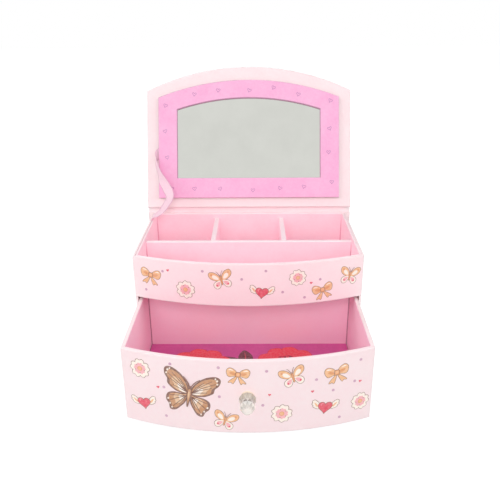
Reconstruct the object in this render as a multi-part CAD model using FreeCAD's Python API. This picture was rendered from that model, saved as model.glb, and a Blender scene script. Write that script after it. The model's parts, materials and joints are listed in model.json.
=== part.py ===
import FreeCAD, Part
import math
import os

# A two-level jewellery box of paper-covered board, in millimetres.
# A compartment tray sits over a bow-front drawer, and a mirror lid folds back on a cloth hinge.
# The origin is on the underside, midway between the back face and the front corners.
# +Z is up and the front faces -Y. At rest the lid stands open and the drawer is drawn out.

Vector = FreeCAD.Vector

# Case
case_width = 170.0
case_depth = 100.0  # back face to front corners
case_height = 90.5  # base board to wall tops
front_bow = 17.0  # how far the middle of the front stands ahead of its corners
wall_thickness = 1.6
back_board_thickness = 2.0
base_thickness = 4.0
tray_front_height = 33.1
shelf_thickness = 2.0

# Cover boards: the lid and the base share this overhang
side_overhang = 4.2
corner_overhang = 2.3
extra_bow = 3.5  # the cover boards bow this much more than the case

# Tray liner and dividers
liner_thickness = 1.2
liner_gap = 0.4  # between the case walls and the liner, where the ribbon goes down
floor_paper_thickness = 0.3
floor_paper_inset = 0.2
divider_thickness = 4.0
divider_drop = 3.5  # divider tops below the wall tops
back_row_depth = 54.3
middle_width = 52.6

# Lid with its mirror panel
lid_thickness = 4.0
lid_gap = 0.3  # closed lid above the wall tops
lid_open_angle = 111.0
mirror_thickness = 1.2
frame_thickness = 1.5
panel_clearance = 3.0  # panel edge to tray liner when closed
frame_side_border = 16.5
frame_rear_border = 17.3
frame_front_border = 15.8
mirror_overlap = 5.0  # mirror edge under the frame
mirror_clearance = 0.3

# Cloth hinge and ribbon stay
cloth_thickness = 0.35
cloth_leg = 14.0
cloth_inset = 1.0
glue_gap = 0.1
ribbon_thickness = 0.25
ribbon_notch_from = 40.0  # up the lid from its rear edge, where the ribbon goes under the frame
ribbon_notch_to = 56.0
ribbon_notch_depth = 7.0

# Drawer
drawer_side_clearance = 0.9
drawer_bottom_clearance = 0.3
drawer_top_clearance = 2.1
drawer_rear_clearance = 6.3
drawer_open = 69.0
drawer_front_thickness = 3.0
drawer_wall_thickness = 2.8
drawer_bottom_thickness = 2.5
drawer_bottom_lift = 1.8
lining_thickness = 0.4
lining_inset = 0.8

# Knob: a faceted acrylic stud on a collar, held by a screw from inside the drawer
knob_facets = 10
knob_rise = 1.4  # above the middle of the drawer front
collar_radius = 4.2
collar_thickness = 1.2
knob_length = 14.0
knob_foot_radius = 3.6
knob_back_at = 2.2
knob_back_radius = 5.5
knob_waist_at = 6.8
knob_waist_radius = 4.4
knob_front_at = 10.6
knob_front_radius = 4.9
knob_table_radius = 2.9
screw_radius = 1.4
screw_grip = 7.0  # length inside the knob
screw_head_radius = 2.8
screw_head_height = 1.6
screw_clearance = 0.15
washer_radius = 3.6
washer_thickness = 0.6
washer_gap = 0.05  # a flat washer on a hollow face

# Rounded edges of the wrapped boards
edge_radius = 0.4
cover_edge_radius = 0.8
rounding_share = 1 / 3  # of its wall, the most that a rounding takes

# Cutting tools reach this far past what they cut, and edges this close are in one place
spare = 5.0
same_place = 0.01

# Levels and faces worked out from the sizes above
half_width = case_width / 2
back_y = case_depth / 2
corner_y = -case_depth / 2
wall_top = base_thickness + case_height
shelf_under = wall_top - tray_front_height
shelf_top = shelf_under + shelf_thickness
floor_top = shelf_top + floor_paper_thickness
divider_top = wall_top - divider_drop
bay_half = half_width - wall_thickness
board_face_y = back_y - back_board_thickness
bay_back_y = board_face_y - wall_thickness
liner_half = bay_half - liner_gap
tray_half = liner_half - liner_thickness
liner_back_y = bay_back_y - liner_gap
tray_back_y = liner_back_y - liner_thickness
divider_back_y = tray_back_y - back_row_depth


def bow_radius(half, bow):
    return (half * half + bow * bow) / (2 * bow)


front_radius = bow_radius(half_width, front_bow)
front_centre_y = corner_y - front_bow + front_radius
liner_radius = front_radius - wall_thickness - liner_gap
tray_radius = liner_radius - liner_thickness

cover_half = half_width + side_overhang
cover_bow = front_bow + extra_bow
cover_radius = bow_radius(cover_half, cover_bow)
cover_centre_y = corner_y - corner_overhang - cover_bow + cover_radius

lid_under = wall_top + lid_gap
hinge = Vector(0, back_y, lid_under + lid_thickness)
panel_half = tray_half - panel_clearance
panel_back_y = tray_back_y - panel_clearance
panel_radius = tray_radius - panel_clearance
window_half = panel_half - frame_side_border
window_back_y = panel_back_y - frame_rear_border
window_radius = panel_radius - frame_front_border
frame_top = lid_under - mirror_thickness

drawer_half = bay_half - drawer_side_clearance
drawer_inner_half = drawer_half - drawer_wall_thickness
drawer_under = base_thickness + drawer_bottom_clearance
drawer_top = shelf_under - drawer_top_clearance
drawer_back_y = bay_back_y - drawer_rear_clearance
drawer_inner_back_y = drawer_back_y - drawer_wall_thickness
drawer_inner_radius = front_radius - drawer_front_thickness
drawer_floor = drawer_under + drawer_bottom_lift + drawer_bottom_thickness

knob_z = (drawer_under + drawer_top) / 2 + knob_rise
drawer_face_y = front_centre_y - front_radius
knob_foot_y = drawer_face_y - collar_thickness
washer_y = drawer_face_y + drawer_front_thickness + washer_gap
head_y = washer_y + washer_thickness


# Basic shapes

def block(x0, x1, y0, y1, z0, z1):
    return Part.makeBox(x1 - x0, y1 - y0, z1 - z0, Vector(x0, y0, z0))


def drum(radius, centre_y, z0, z1):
    return Part.makeCylinder(radius, z1 - z0, Vector(0, centre_y, z0))


def rod(radius, y0, y1):
    # a round bar along Y on the knob's axis
    return Part.makeCylinder(radius, y1 - y0, Vector(0, y0, knob_z), Vector(0, 1, 0))


def screw_hole(y0, y1):
    return rod(screw_radius + screw_clearance, y0, y1)


def bowed_board(x0, x1, y1, radius, centre_y, z0, z1):
    # a flat board with its front edge on an arc
    sheet = block(x0, x1, centre_y - radius - spare, y1, z0, z1)
    return sheet.common(drum(radius, centre_y, z0 - spare, z1 + spare))


def bowed_panel(half, radius, thickness, z0, z1):
    # an upright panel bent along the case's front arc
    shell = drum(radius, front_centre_y, z0, z1)
    shell = shell.cut(drum(radius - thickness, front_centre_y, z0 - spare, z1 + spare))
    window = block(-half, half, front_centre_y - radius - spare, front_centre_y, z0 - spare, z1 + spare)
    return shell.common(window)


def level_edges(shape, z):
    # every edge that lies in the level plane z
    found = []
    for edge in shape.Edges:
        low = edge.BoundBox.ZMin
        high = edge.BoundBox.ZMax
        if abs(low - z) < same_place and abs(high - z) < same_place:
            found.append(edge)
    return found


def corner_edges(shape, x_limit):
    # the upright edges farthest out on both sides
    found = []
    for edge in shape.Edges:
        box = edge.BoundBox
        upright = box.XLength < same_place and box.YLength < same_place
        if upright and abs(abs(box.XMin) - x_limit) < same_place:
            found.append(edge)
    return found


def soften(shape, edges, radius, thickness):
    return shape.makeFillet(min(radius, thickness * rounding_share), edges)


def faceted(outlines):
    # a solid from the outlines of its flat faces
    faces = [Part.Face(Part.makePolygon(points + points[:1])) for points in outlines]
    solid = Part.makeSolid(Part.makeShell(faces))
    if solid.Volume < 0:
        solid.reverse()
    return solid


# Poses

def lid_opened(shape):
    shape.rotate(hinge, Vector(1, 0, 0), -lid_open_angle)
    return shape


def drawer_drawn(shape):
    shape.translate(Vector(0, -drawer_open, 0))
    return shape


# Case

def cover_board(z0, thickness):
    z1 = z0 + thickness
    board = bowed_board(-cover_half, cover_half, back_y, cover_radius, cover_centre_y, z0, z1)
    rims = level_edges(board, z0) + level_edges(board, z1)
    return soften(board, rims, cover_edge_radius, thickness)


def base_board():
    return cover_board(0, base_thickness)


def side_wall(side):
    near, far = sorted((side * bay_half, side * half_width))
    lower = bowed_board(near, far, board_face_y, front_radius, front_centre_y, base_thickness, shelf_under)
    inside = front_radius - wall_thickness
    upper = bowed_board(near, far, board_face_y, inside, front_centre_y, shelf_under, wall_top)
    wall = lower.fuse(upper).removeSplitter()
    return soften(wall, level_edges(wall, wall_top), edge_radius, wall_thickness)


def back_wall():
    wall = block(-bay_half, bay_half, bay_back_y, board_face_y, base_thickness, wall_top)
    return soften(wall, level_edges(wall, wall_top), edge_radius, wall_thickness)


def back_board():
    board = block(-cover_half, cover_half, board_face_y, back_y, base_thickness, wall_top)
    rims = level_edges(board, wall_top) + corner_edges(board, cover_half)
    return soften(board, rims, edge_radius, back_board_thickness)


def shelf_board():
    inside = front_radius - wall_thickness
    return bowed_board(-bay_half, bay_half, bay_back_y, inside, front_centre_y, shelf_under, shelf_top)


def tray_front():
    panel = bowed_panel(half_width, front_radius, wall_thickness, shelf_under, wall_top)
    rims = level_edges(panel, wall_top) + level_edges(panel, shelf_under)
    return soften(panel, rims, edge_radius, wall_thickness)


# Tray liner

def liner_side(side):
    near, far = sorted((side * tray_half, side * liner_half))
    wall = bowed_board(near, far, tray_back_y, tray_radius, front_centre_y, shelf_top, wall_top)
    return soften(wall, level_edges(wall, wall_top), edge_radius, liner_thickness)


def liner_back():
    wall = block(-liner_half, liner_half, tray_back_y, liner_back_y, shelf_top, wall_top)
    return soften(wall, level_edges(wall, wall_top), edge_radius, liner_thickness)


def liner_front():
    panel = bowed_panel(liner_half, liner_radius, liner_thickness, shelf_top, wall_top)
    return soften(panel, level_edges(panel, wall_top), edge_radius, liner_thickness)


def tray_floor_paper():
    half = tray_half - floor_paper_inset
    back = tray_back_y - floor_paper_inset
    radius = tray_radius - floor_paper_inset
    return bowed_board(-half, half, back, radius, front_centre_y, shelf_top, floor_top)


def long_divider():
    front = divider_back_y - divider_thickness
    wall = block(-tray_half, tray_half, front, divider_back_y, floor_top, divider_top)
    return soften(wall, level_edges(wall, divider_top), cover_edge_radius, divider_thickness)


def short_divider(side):
    near, far = sorted((side * middle_width / 2, side * (middle_width / 2 + divider_thickness)))
    wall = block(near, far, divider_back_y, tray_back_y, floor_top, divider_top)
    return soften(wall, level_edges(wall, divider_top), cover_edge_radius, divider_thickness)


# Lid, made closed and then turned open

def lid_board():
    return lid_opened(cover_board(lid_under, lid_thickness))


def panel_board(z0, z1):
    return bowed_board(-panel_half, panel_half, panel_back_y, panel_radius, front_centre_y, z0, z1)


def window_sheet(grow, z0, z1):
    # the mirror window's outline, grown outward
    half = window_half + grow
    radius = window_radius + grow
    return bowed_board(-half, half, window_back_y + grow, radius, front_centre_y, z0, z1)


def mirror():
    return lid_opened(window_sheet(mirror_overlap, frame_top, lid_under))


def mirror_spacer():
    ring = panel_board(frame_top, lid_under)
    ring = ring.cut(window_sheet(mirror_overlap + mirror_clearance, frame_top - spare, lid_under + spare))
    notch = block(-panel_half - spare, -panel_half + ribbon_notch_depth,
                  back_y - ribbon_notch_to, back_y - ribbon_notch_from, frame_top - spare, lid_under + spare)
    return lid_opened(ring.cut(notch))


def mirror_frame():
    z0 = frame_top - frame_thickness
    card = panel_board(z0, frame_top)
    card = card.cut(window_sheet(0, z0 - spare, frame_top + spare))
    return lid_opened(soften(card, level_edges(card, z0), edge_radius, frame_thickness))


# Cloth hinge and ribbon

def lid_point(in_from_wall, along, lift):
    # a point over the inner face of the open lid, measured from the left wall, the rear edge and the face
    closed = Vector(-bay_half + in_from_wall, back_y - along, lid_under - lift)
    turn = FreeCAD.Rotation(Vector(1, 0, 0), -lid_open_angle)
    return hinge + turn.multVec(closed - hinge)


def case_point(in_from_wall, in_from_back, above):
    return Vector(-bay_half + in_from_wall, back_y - in_from_back, wall_top + above)


def hinge_cloth():
    lean = math.radians(lid_open_angle - 90)
    up_lid = Vector(0, math.sin(lean), math.cos(lean))
    off_lid = Vector(0, math.cos(lean), -math.sin(lean))
    half = cover_half - cloth_inset

    def crease(offset):
        # where the two legs' faces meet
        return Vector(-half, back_y + offset, hinge.z - offset * math.tan(lean / 2))

    inner = glue_gap
    outer = glue_gap + cloth_thickness
    foot = Vector(-half, 0, wall_top - cloth_leg)
    tip = Vector(-half, hinge.y, hinge.z) + up_lid * cloth_leg
    corners = [
        foot + Vector(0, back_y + inner, 0),
        crease(inner),
        tip + off_lid * inner,
        tip + off_lid * outer,
        crease(outer),
        foot + Vector(0, back_y + outer, 0),
    ]
    section = Part.Face(Part.makePolygon(corners + corners[:1]))
    return section.extrude(Vector(2 * half, 0, 0))


# The ribbon's two edges, chosen by hand, from the lid down into the gap beside the liner
ribbon_edges = [
    (lid_point(9.4, 54.0, 0.6), lid_point(9.4, 44.0, 0.6)),
    (lid_point(4.0, 52.0, 0.7), lid_point(4.0, 42.0, 0.7)),
    (lid_point(1.7, 47.0, 3.0), lid_point(1.9, 37.0, 2.6)),
    (lid_point(6.8, 32.5, 10.8), lid_point(4.6, 26.5, 4.0)),
    (lid_point(13.6, 22.5, 13.0), lid_point(7.3, 20.0, 6.0)),
    (lid_point(18.4, 14.2, 14.0), lid_point(9.5, 13.5, 10.0)),
    (lid_point(19.1, 6.7, 17.5), lid_point(11.9, 7.6, 11.0)),
    (case_point(14.8, 21.0, 11.8), case_point(7.8, 13.9, 9.8)),
    (case_point(10.2, 22.0, 6.6), case_point(4.5, 13.8, 5.6)),
    (case_point(5.0, 22.0, 3.2), case_point(1.2, 12.6, 3.0)),
    (case_point(0.3, 22.0, 1.6), case_point(0.3, 12.0, 1.6)),
    (case_point(0.2, 22.0, -2.5), case_point(0.2, 12.0, -2.5)),
    (case_point(0.2, 22.0, -14.0), case_point(0.2, 12.0, -14.0)),
]


def ribbon_section(index):
    one, other = ribbon_edges[index]
    before = ribbon_edges[max(index - 1, 0)]
    after = ribbon_edges[min(index + 1, len(ribbon_edges) - 1)]
    heading = after[0] + after[1] - before[0] - before[1]
    lift = heading.cross(one - other).normalize() * (ribbon_thickness / 2)
    return [one + lift, other + lift, other - lift, one - lift]


def stay_ribbon():
    # flat facets, split along the same diagonal on both faces
    sections = [ribbon_section(i) for i in range(len(ribbon_edges))]
    outlines = [sections[0], sections[-1]]
    for low, high in zip(sections, sections[1:]):
        for i in range(len(low)):
            j = (i + 1) % len(low)
            if i < 2:
                outlines.append([low[i], low[j], high[j]])
                outlines.append([low[i], high[j], high[i]])
            else:
                outlines.append([low[i], low[j], high[i]])
                outlines.append([low[j], high[j], high[i]])
    return faceted(outlines)


# Drawer, made closed and then drawn out

def drawer_front():
    panel = bowed_panel(drawer_half, front_radius, drawer_front_thickness, drawer_under, drawer_top)
    rims = level_edges(panel, drawer_top) + level_edges(panel, drawer_under)
    rims += corner_edges(panel, drawer_half)
    panel = soften(panel, rims, edge_radius, drawer_front_thickness)
    return drawer_drawn(panel.cut(screw_hole(drawer_face_y - spare, head_y + spare)))


def drawer_side(side):
    near, far = sorted((side * drawer_inner_half, side * drawer_half))
    wall = bowed_board(near, far, drawer_back_y, drawer_inner_radius, front_centre_y,
                       drawer_under, drawer_top)
    return drawer_drawn(soften(wall, level_edges(wall, drawer_top), edge_radius, drawer_wall_thickness))


def drawer_back():
    wall = block(-drawer_inner_half, drawer_inner_half, drawer_inner_back_y, drawer_back_y,
                 drawer_under, drawer_top)
    return drawer_drawn(soften(wall, level_edges(wall, drawer_top), edge_radius, drawer_wall_thickness))


def drawer_bottom():
    low = drawer_under + drawer_bottom_lift
    return drawer_drawn(bowed_board(-drawer_inner_half, drawer_inner_half, drawer_inner_back_y,
                                    drawer_inner_radius, front_centre_y, low, drawer_floor))


def drawer_lining():
    half = drawer_inner_half - lining_inset
    radius = drawer_inner_radius - lining_inset
    return drawer_drawn(bowed_board(-half, half, drawer_inner_back_y - lining_inset, radius, front_centre_y,
                                    drawer_floor, drawer_floor + lining_thickness))


# Knob

def knob_ring(index, ahead, radius):
    # each ring is turned half a facet from the last
    points = []
    for i in range(knob_facets):
        angle = 2 * math.pi * (i + index / 2) / knob_facets
        z = knob_z + radius * math.sin(angle)
        points.append(Vector(radius * math.cos(angle), knob_foot_y - ahead, z))
    return points


def knob_gem():
    profile = [
        (0, knob_foot_radius),
        (knob_back_at, knob_back_radius),
        (knob_waist_at, knob_waist_radius),
        (knob_front_at, knob_front_radius),
        (knob_length, knob_table_radius),
    ]
    rings = [knob_ring(i, ahead, radius) for i, (ahead, radius) in enumerate(profile)]
    outlines = [rings[0], rings[-1]]
    for low, high in zip(rings, rings[1:]):
        for i in range(knob_facets):
            j = (i + 1) % knob_facets
            outlines.append([low[i], low[j], high[i]])
            outlines.append([low[j], high[j], high[i]])
    gem = faceted(outlines)
    bore_end = knob_foot_y - screw_grip - screw_clearance
    return drawer_drawn(gem.cut(screw_hole(bore_end, knob_foot_y + spare)))


def knob_collar():
    ring = rod(collar_radius, knob_foot_y, drawer_face_y)
    return drawer_drawn(ring.cut(screw_hole(knob_foot_y - spare, drawer_face_y + spare)))


def knob_washer():
    ring = rod(washer_radius, washer_y, head_y)
    return drawer_drawn(ring.cut(screw_hole(washer_y - spare, head_y + spare)))


def knob_screw():
    shank = rod(screw_radius, knob_foot_y - screw_grip, head_y)
    head = rod(screw_head_radius, head_y, head_y + screw_head_height)
    return drawer_drawn(shank.fuse(head))


left, right = -1, 1
nodes = {
    "base_board": base_board(),
    "left_wall": side_wall(left),
    "right_wall": side_wall(right),
    "back_wall": back_wall(),
    "back_board": back_board(),
    "shelf_board": shelf_board(),
    "tray_front": tray_front(),
    "liner_left": liner_side(left),
    "liner_right": liner_side(right),
    "liner_back": liner_back(),
    "liner_front": liner_front(),
    "tray_floor_paper": tray_floor_paper(),
    "long_divider": long_divider(),
    "left_divider": short_divider(left),
    "right_divider": short_divider(right),
    "hinge_cloth": hinge_cloth(),
    "stay_ribbon": stay_ribbon(),
    "lid_board": lid_board(),
    "mirror": mirror(),
    "mirror_spacer": mirror_spacer(),
    "mirror_frame": mirror_frame(),
    "drawer_front": drawer_front(),
    "drawer_left_side": drawer_side(left),
    "drawer_right_side": drawer_side(right),
    "drawer_back": drawer_back(),
    "drawer_bottom": drawer_bottom(),
    "drawer_lining": drawer_lining(),
    "knob_gem": knob_gem(),
    "knob_collar": knob_collar(),
    "knob_screw": knob_screw(),
    "knob_washer": knob_washer(),
}

os.makedirs("parts", exist_ok=True)
for name, shape in nodes.items():
    shape.exportStep("parts/" + name + ".step")
    print(name, "valid" if shape.isValid() else "NOT VALID", len(shape.Solids), round(shape.Volume, 2))
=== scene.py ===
import json
import math

import bmesh
import bpy
from mathutils import Matrix, Vector

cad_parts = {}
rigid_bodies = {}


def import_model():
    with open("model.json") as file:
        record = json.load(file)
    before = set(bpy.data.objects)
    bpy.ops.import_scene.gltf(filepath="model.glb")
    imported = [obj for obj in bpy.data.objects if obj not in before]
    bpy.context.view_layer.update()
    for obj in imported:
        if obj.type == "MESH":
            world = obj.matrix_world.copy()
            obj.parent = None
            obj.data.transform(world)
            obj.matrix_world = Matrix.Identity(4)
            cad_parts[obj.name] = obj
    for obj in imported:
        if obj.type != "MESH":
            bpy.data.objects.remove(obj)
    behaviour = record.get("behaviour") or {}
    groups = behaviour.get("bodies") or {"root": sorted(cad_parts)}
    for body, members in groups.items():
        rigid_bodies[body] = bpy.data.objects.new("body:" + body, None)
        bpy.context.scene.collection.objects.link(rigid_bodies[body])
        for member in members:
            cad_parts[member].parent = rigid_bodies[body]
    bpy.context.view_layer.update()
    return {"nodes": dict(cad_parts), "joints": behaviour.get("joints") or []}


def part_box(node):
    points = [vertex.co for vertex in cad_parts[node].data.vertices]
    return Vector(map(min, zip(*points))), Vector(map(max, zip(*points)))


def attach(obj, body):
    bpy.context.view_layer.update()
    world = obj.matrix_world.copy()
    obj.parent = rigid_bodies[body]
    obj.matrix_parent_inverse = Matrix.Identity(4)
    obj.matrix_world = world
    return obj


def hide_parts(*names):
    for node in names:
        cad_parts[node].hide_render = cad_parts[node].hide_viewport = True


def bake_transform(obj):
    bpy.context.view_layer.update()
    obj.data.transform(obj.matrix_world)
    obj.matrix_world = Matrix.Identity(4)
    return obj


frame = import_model()
cadNodes = frame["nodes"]
mm = 0.001
print("frame loaded,", len(cadNodes), "nodes")


# small tools

def hexColour(code):
    # sRGB hex to the linear values that shaders take
    def linear(part):
        value = int(part, 16) / 255
        return value / 12.92 if value <= 0.04045 else ((value + 0.055) / 1.055) ** 2.4
    return (linear(code[1:3]), linear(code[3:5]), linear(code[5:7]), 1.0)


def feed(tree, node, given):
    # inputs in order or by name: a node gives its first output in use, a hex code its colour
    for name, value in given.items() if isinstance(given, dict) else enumerate(given):
        if isinstance(value, bpy.types.Node):
            value = next(socket for socket in value.outputs if socket.enabled)
        elif isinstance(value, str) and value.startswith("#"):
            value = hexColour(value)
        if isinstance(value, bpy.types.NodeSocket):
            tree.links.new(value, node.inputs[name])
        else:
            node.inputs[name].default_value = value


def addNode(tree, kind, given=(), **settings):
    node = tree.nodes.new(kind)
    for name, value in settings.items():
        setattr(node, name, value)
    feed(tree, node, given)
    return node


def newMaterial(name, surface):
    material = bpy.data.materials.new(name)
    material.use_nodes = True
    tree = material.node_tree
    tree.nodes.clear()
    shader = addNode(tree, "ShaderNodeBsdfPrincipled", surface)
    addNode(tree, "ShaderNodeOutputMaterial", {"Surface": shader})
    return material, tree, shader


def newPiece(name, mesh, material=None):
    piece = bpy.data.objects.new(name, mesh)
    bpy.context.scene.collection.objects.link(piece)
    if material:
        mesh.materials.append(material)
    return piece


def settled(piece):
    # the evaluated result as a plain mesh, with no modifier left
    bpy.context.view_layer.update()
    ready = piece.evaluated_get(bpy.context.evaluated_depsgraph_get())
    mesh = bpy.data.meshes.new_from_object(ready)
    piece.modifiers.clear()
    piece.data = mesh
    mesh.name = piece.name
    return piece


def raisedBy(shape, rise):
    # all faces pulled out into closed bodies, and the corners that moved
    pulled = bmesh.ops.extrude_face_region(shape, geom=shape.faces[:])["geom"]
    corners = [part for part in pulled if isinstance(part, bmesh.types.BMVert)]
    bmesh.ops.translate(shape, verts=corners, vec=rise)
    bmesh.ops.recalc_face_normals(shape, faces=shape.faces[:])
    return corners


def asMesh(name, shape):
    mesh = bpy.data.meshes.new(name)
    shape.to_mesh(mesh)
    shape.free()
    return mesh


def perMetre(size):
    # a pattern's scale from the size of one of its features in millimetres
    return 1 / (size * mm)


# camera, solved from the corners that show in the picture: millimetres and degrees

view = {"place": (4.97, -448.97, 262.46), "lens": 42.49, "sensor": 36, "nearest": 10,
        "pitch": 22.294, "yaw": -0.507, "roll": 0.418}


def addCamera():
    pitch, yaw, roll = (math.radians(view[turn]) for turn in ("pitch", "yaw", "roll"))
    forward = Vector((math.sin(yaw) * math.cos(pitch), math.cos(yaw) * math.cos(pitch), -math.sin(pitch)))
    level = Vector((math.cos(yaw), -math.sin(yaw), 0))
    down = forward.cross(level)
    right = math.cos(roll) * level + math.sin(roll) * down
    below = math.cos(roll) * down - math.sin(roll) * level
    lens = bpy.data.cameras.new("camera")
    lens.lens = view["lens"]
    lens.sensor_width = view["sensor"]
    lens.clip_start = view["nearest"] * mm
    camera = bpy.data.objects.new("camera", lens)
    bpy.context.scene.collection.objects.link(camera)
    axes = Matrix((right, -below, -forward)).transposed()
    camera.matrix_world = Matrix.Translation(Vector(view["place"]) * mm) @ axes.to_4x4()
    bpy.context.scene.camera = camera


addCamera()
print("camera set")


# floor and light, in metres and watts: a pale sweep, soft boxes all round the object, and a white room

studio = {"room": 0.35, "aim": (0, -0.03, 0.08), "bounces": 8, "clearBounces": 24,
          "floor": "#c8c8c8", "floorRoughness": 0.9, "floorReach": 4.0, "floorShow": 0.75, "floorWhite": 1.27}
softBoxes = {"overhead": {"power": 2.0, "size": 1.6, "place": (0.0, -0.25, 1.45)},
             "left": {"power": 3.5, "size": 1.5, "place": (-1.35, -1.50, 1.20)},
             "right": {"power": 4.5, "size": 1.5, "place": (1.35, -1.50, 1.20)},
             "middle": {"power": 4.6, "size": 0.6, "place": (-0.08, -1.10, 0.62)},
             "sideLeft": {"power": 15.0, "size": 1.5, "place": (-1.85, -0.50, 0.95)},
             "sideRight": {"power": 14.5, "size": 1.5, "place": (1.85, -0.50, 0.95)},
             "behind": {"power": 16.0, "size": 1.5, "place": (-0.40, 1.50, 1.10)}}


def seenPlainly(tree):
    # 1 for what the camera sees, straight or in mirror, metal or acrylic
    path = addNode(tree, "ShaderNodeLightPath").outputs
    direct = addNode(tree, "ShaderNodeMath", (path["Is Camera Ray"], path["Is Glossy Ray"]),
                     operation="MAXIMUM")
    return addNode(tree, "ShaderNodeMath", (direct, path["Is Transmission Ray"]), operation="MAXIMUM")


def addRoom(scene):
    world = bpy.data.worlds.new("studio")
    scene.world = world
    world.use_nodes = True
    tree = world.node_tree
    tree.nodes.clear()
    strength = addNode(tree, "ShaderNodeMapRange", {"Value": seenPlainly(tree), "To Min": studio["room"],
                                                    "To Max": 1.0})
    room = addNode(tree, "ShaderNodeBackground", {"Color": "#ffffff", "Strength": strength})
    addNode(tree, "ShaderNodeOutputWorld", {"Surface": room})


def addSoftBox(scene, name, box):
    lamp = bpy.data.lights.new(name, "AREA")
    lamp.energy = box["power"]
    lamp.size = box["size"]
    softBox = bpy.data.objects.new(name, lamp)
    scene.collection.objects.link(softBox)
    softBox.location = box["place"]
    softBox.rotation_euler = (Vector(studio["aim"]) - softBox.location).to_track_quat("-Z", "Y").to_euler()
    softBox.visible_glossy = False  # the mirror shows the even white room, not the lamps


def addFloor():
    # painted sweep: most of what is seen of it is plain white, the rest keeps the shadow
    mesh = bpy.data.meshes.new("floor")
    far = studio["floorReach"]
    mesh.from_pydata([(-far, -far, 0), (far, -far, 0), (far, far, 0), (-far, far, 0)], [], [(0, 1, 2, 3)])
    material, tree, paint = newMaterial("palePaintedFloor", {"Base Color": studio["floor"],
                                                             "Roughness": studio["floorRoughness"]})
    share = addNode(tree, "ShaderNodeMath", (seenPlainly(tree), studio["floorShow"]), operation="MULTIPLY")
    white = addNode(tree, "ShaderNodeEmission", {"Color": "#ffffff", "Strength": studio["floorWhite"]})
    both = addNode(tree, "ShaderNodeMixShader", (share, paint, white))
    feed(tree, tree.nodes["Material Output"], {"Surface": both})
    floor = newPiece("floor", mesh, material)


def addStudio():
    scene = bpy.context.scene
    scene.view_settings.view_transform = "Standard"
    scene.cycles.diffuse_bounces = studio["bounces"]  # pink papers face each other in the tray and drawer
    scene.cycles.max_bounces = studio["clearBounces"]
    scene.cycles.transmission_bounces = studio["clearBounces"]  # light crosses the cut knob many times
    addRoom(scene)
    for name, box in softBoxes.items():
        addSoftBox(scene, name, box)
    addFloor()


addStudio()
print("studio set")


# sizes of the solids that the pieces below sit on, in millimetres, most of them from the frame

def lowest(node):
    return Vector(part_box(node)[0]) / mm


def highest(node):
    return Vector(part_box(node)[1]) / mm


lidHinge = next(joint for joint in frame["joints"] if joint["name"] == "lid_hinge")
hingeY, hingeZ = (v / mm for v in lidHinge["pos_m"][1:])
lidLean = math.radians(lidHinge["range_deg"][1] - 90)  # it closes through its lean and a right angle
trayFrontApex = lowest("tray_front").y
drawerFrontApex = lowest("drawer_front").y
wallTop = highest("left_wall").z
wallFace = highest("right_wall").x
bayHalf = lowest("right_wall").x
knobFoot = highest("knob_gem").y
frontRadius = 221.0                    # bow of the tray front and the drawer front
lidRearY, lidRearZ = 46.266, 100.233   # rear edge of the lid's inner face
frameLift = 2.7                        # frame card's face over the lid's inner face


def lidPoint(inFromWall, along, lift):
    return (-bayHalf + inFromWall,
            lidRearY + along * math.sin(lidLean) - lift * math.cos(lidLean),
            lidRearZ + along * math.cos(lidLean) + lift * math.sin(lidLean))


def casePoint(inFromWall, inFromBack, above):
    return (-bayHalf + inFromWall, hingeY - inFromBack, wallTop + above)


# papers, in millimetres; the painted highlight and painted shade on the edges are told by how far the surface
# turns at an edge, and which way

paperFibre = {"cloud": 14, "fibre": 2.4, "film": 1.6, "swell": 3.0, "relief": 0.1, "tones": (0.75, 1.25)}
paintedEdge = {"flat": 0.98, "round": 0.86, "upright": 0.35, "aside": 0.5, "level": -0.1, "below": -0.3}
# edge is a painted highlight on the upper rounded edges, rubbed is a painted grey shade on the side and under
# edges
wrapPaper = {"deep": "#fae2e5", "pale": "#fae7e9", "edge": "#fdecee", "edgeShade": "#e8dadb", "edgeRadius": 2.0,
             "roughness": 0.46}
# the tray front gets a lighter, pinker copy of the wrap paper: painted light standing in for the light that
# reaches it
trayFrontLitPaper = {"deep": "#ffe4e8", "pale": "#ffe9ec"}
# in the lining, edge is a painted highlight on the rounded edges and top a painted highlight on the upward
# faces along the tops
liningPaper = {"deep": "#fdd8e2", "pale": "#fddee7", "edge": "#ffe9ee", "top": "#ffecf0", "topBand": 5,
               "upward": 0.5, "fold": "#e0a3b7", "cornerShadeFade": 14, "edgeRadius": 0.7, "roughness": 0.55}
# fold, here and in the lining paper, is painted shade down the inside corners
drawerPaper = {"deep": "#ffd6e6", "pale": "#ffdbea", "fold": "#b58a9c", "roughness": 0.5,
               "over": 0.25, "inFromFront": 2.7}
cornerShade = {"soft": 1.0, "full": 0.6, "gap": 0.04}


def paperGrain(tree, place, film=paperFibre["film"], strength=0.10):
    # fibre mottle, drawn at 2.4 mm so that it shows, and a fine unevenness of the board under the film
    cloud = addNode(tree, "ShaderNodeTexNoise", {"Vector": place, "Scale": perMetre(paperFibre["cloud"]),
                                                 "Detail": 3.0, "Roughness": 0.6})
    fibre = addNode(tree, "ShaderNodeTexNoise", {"Vector": place, "Scale": perMetre(paperFibre["fibre"]),
                                                 "Detail": 5.0, "Roughness": 0.7})
    peel = addNode(tree, "ShaderNodeTexNoise", {"Vector": place, "Scale": perMetre(film), "Detail": 2.0})
    height = addNode(tree, "ShaderNodeMath", (cloud, paperFibre["swell"], peel), operation="MULTIPLY_ADD")
    bump = addNode(tree, "ShaderNodeBump", {"Height": height, "Strength": strength,
                                            "Distance": paperFibre["relief"] * mm})
    tone = addNode(tree, "ShaderNodeMath", (cloud, fibre), operation="ADD")
    low, high = paperFibre["tones"]
    share = addNode(tree, "ShaderNodeMapRange", {"Value": tone, "From Min": low, "From Max": high})
    return share, bump


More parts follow.
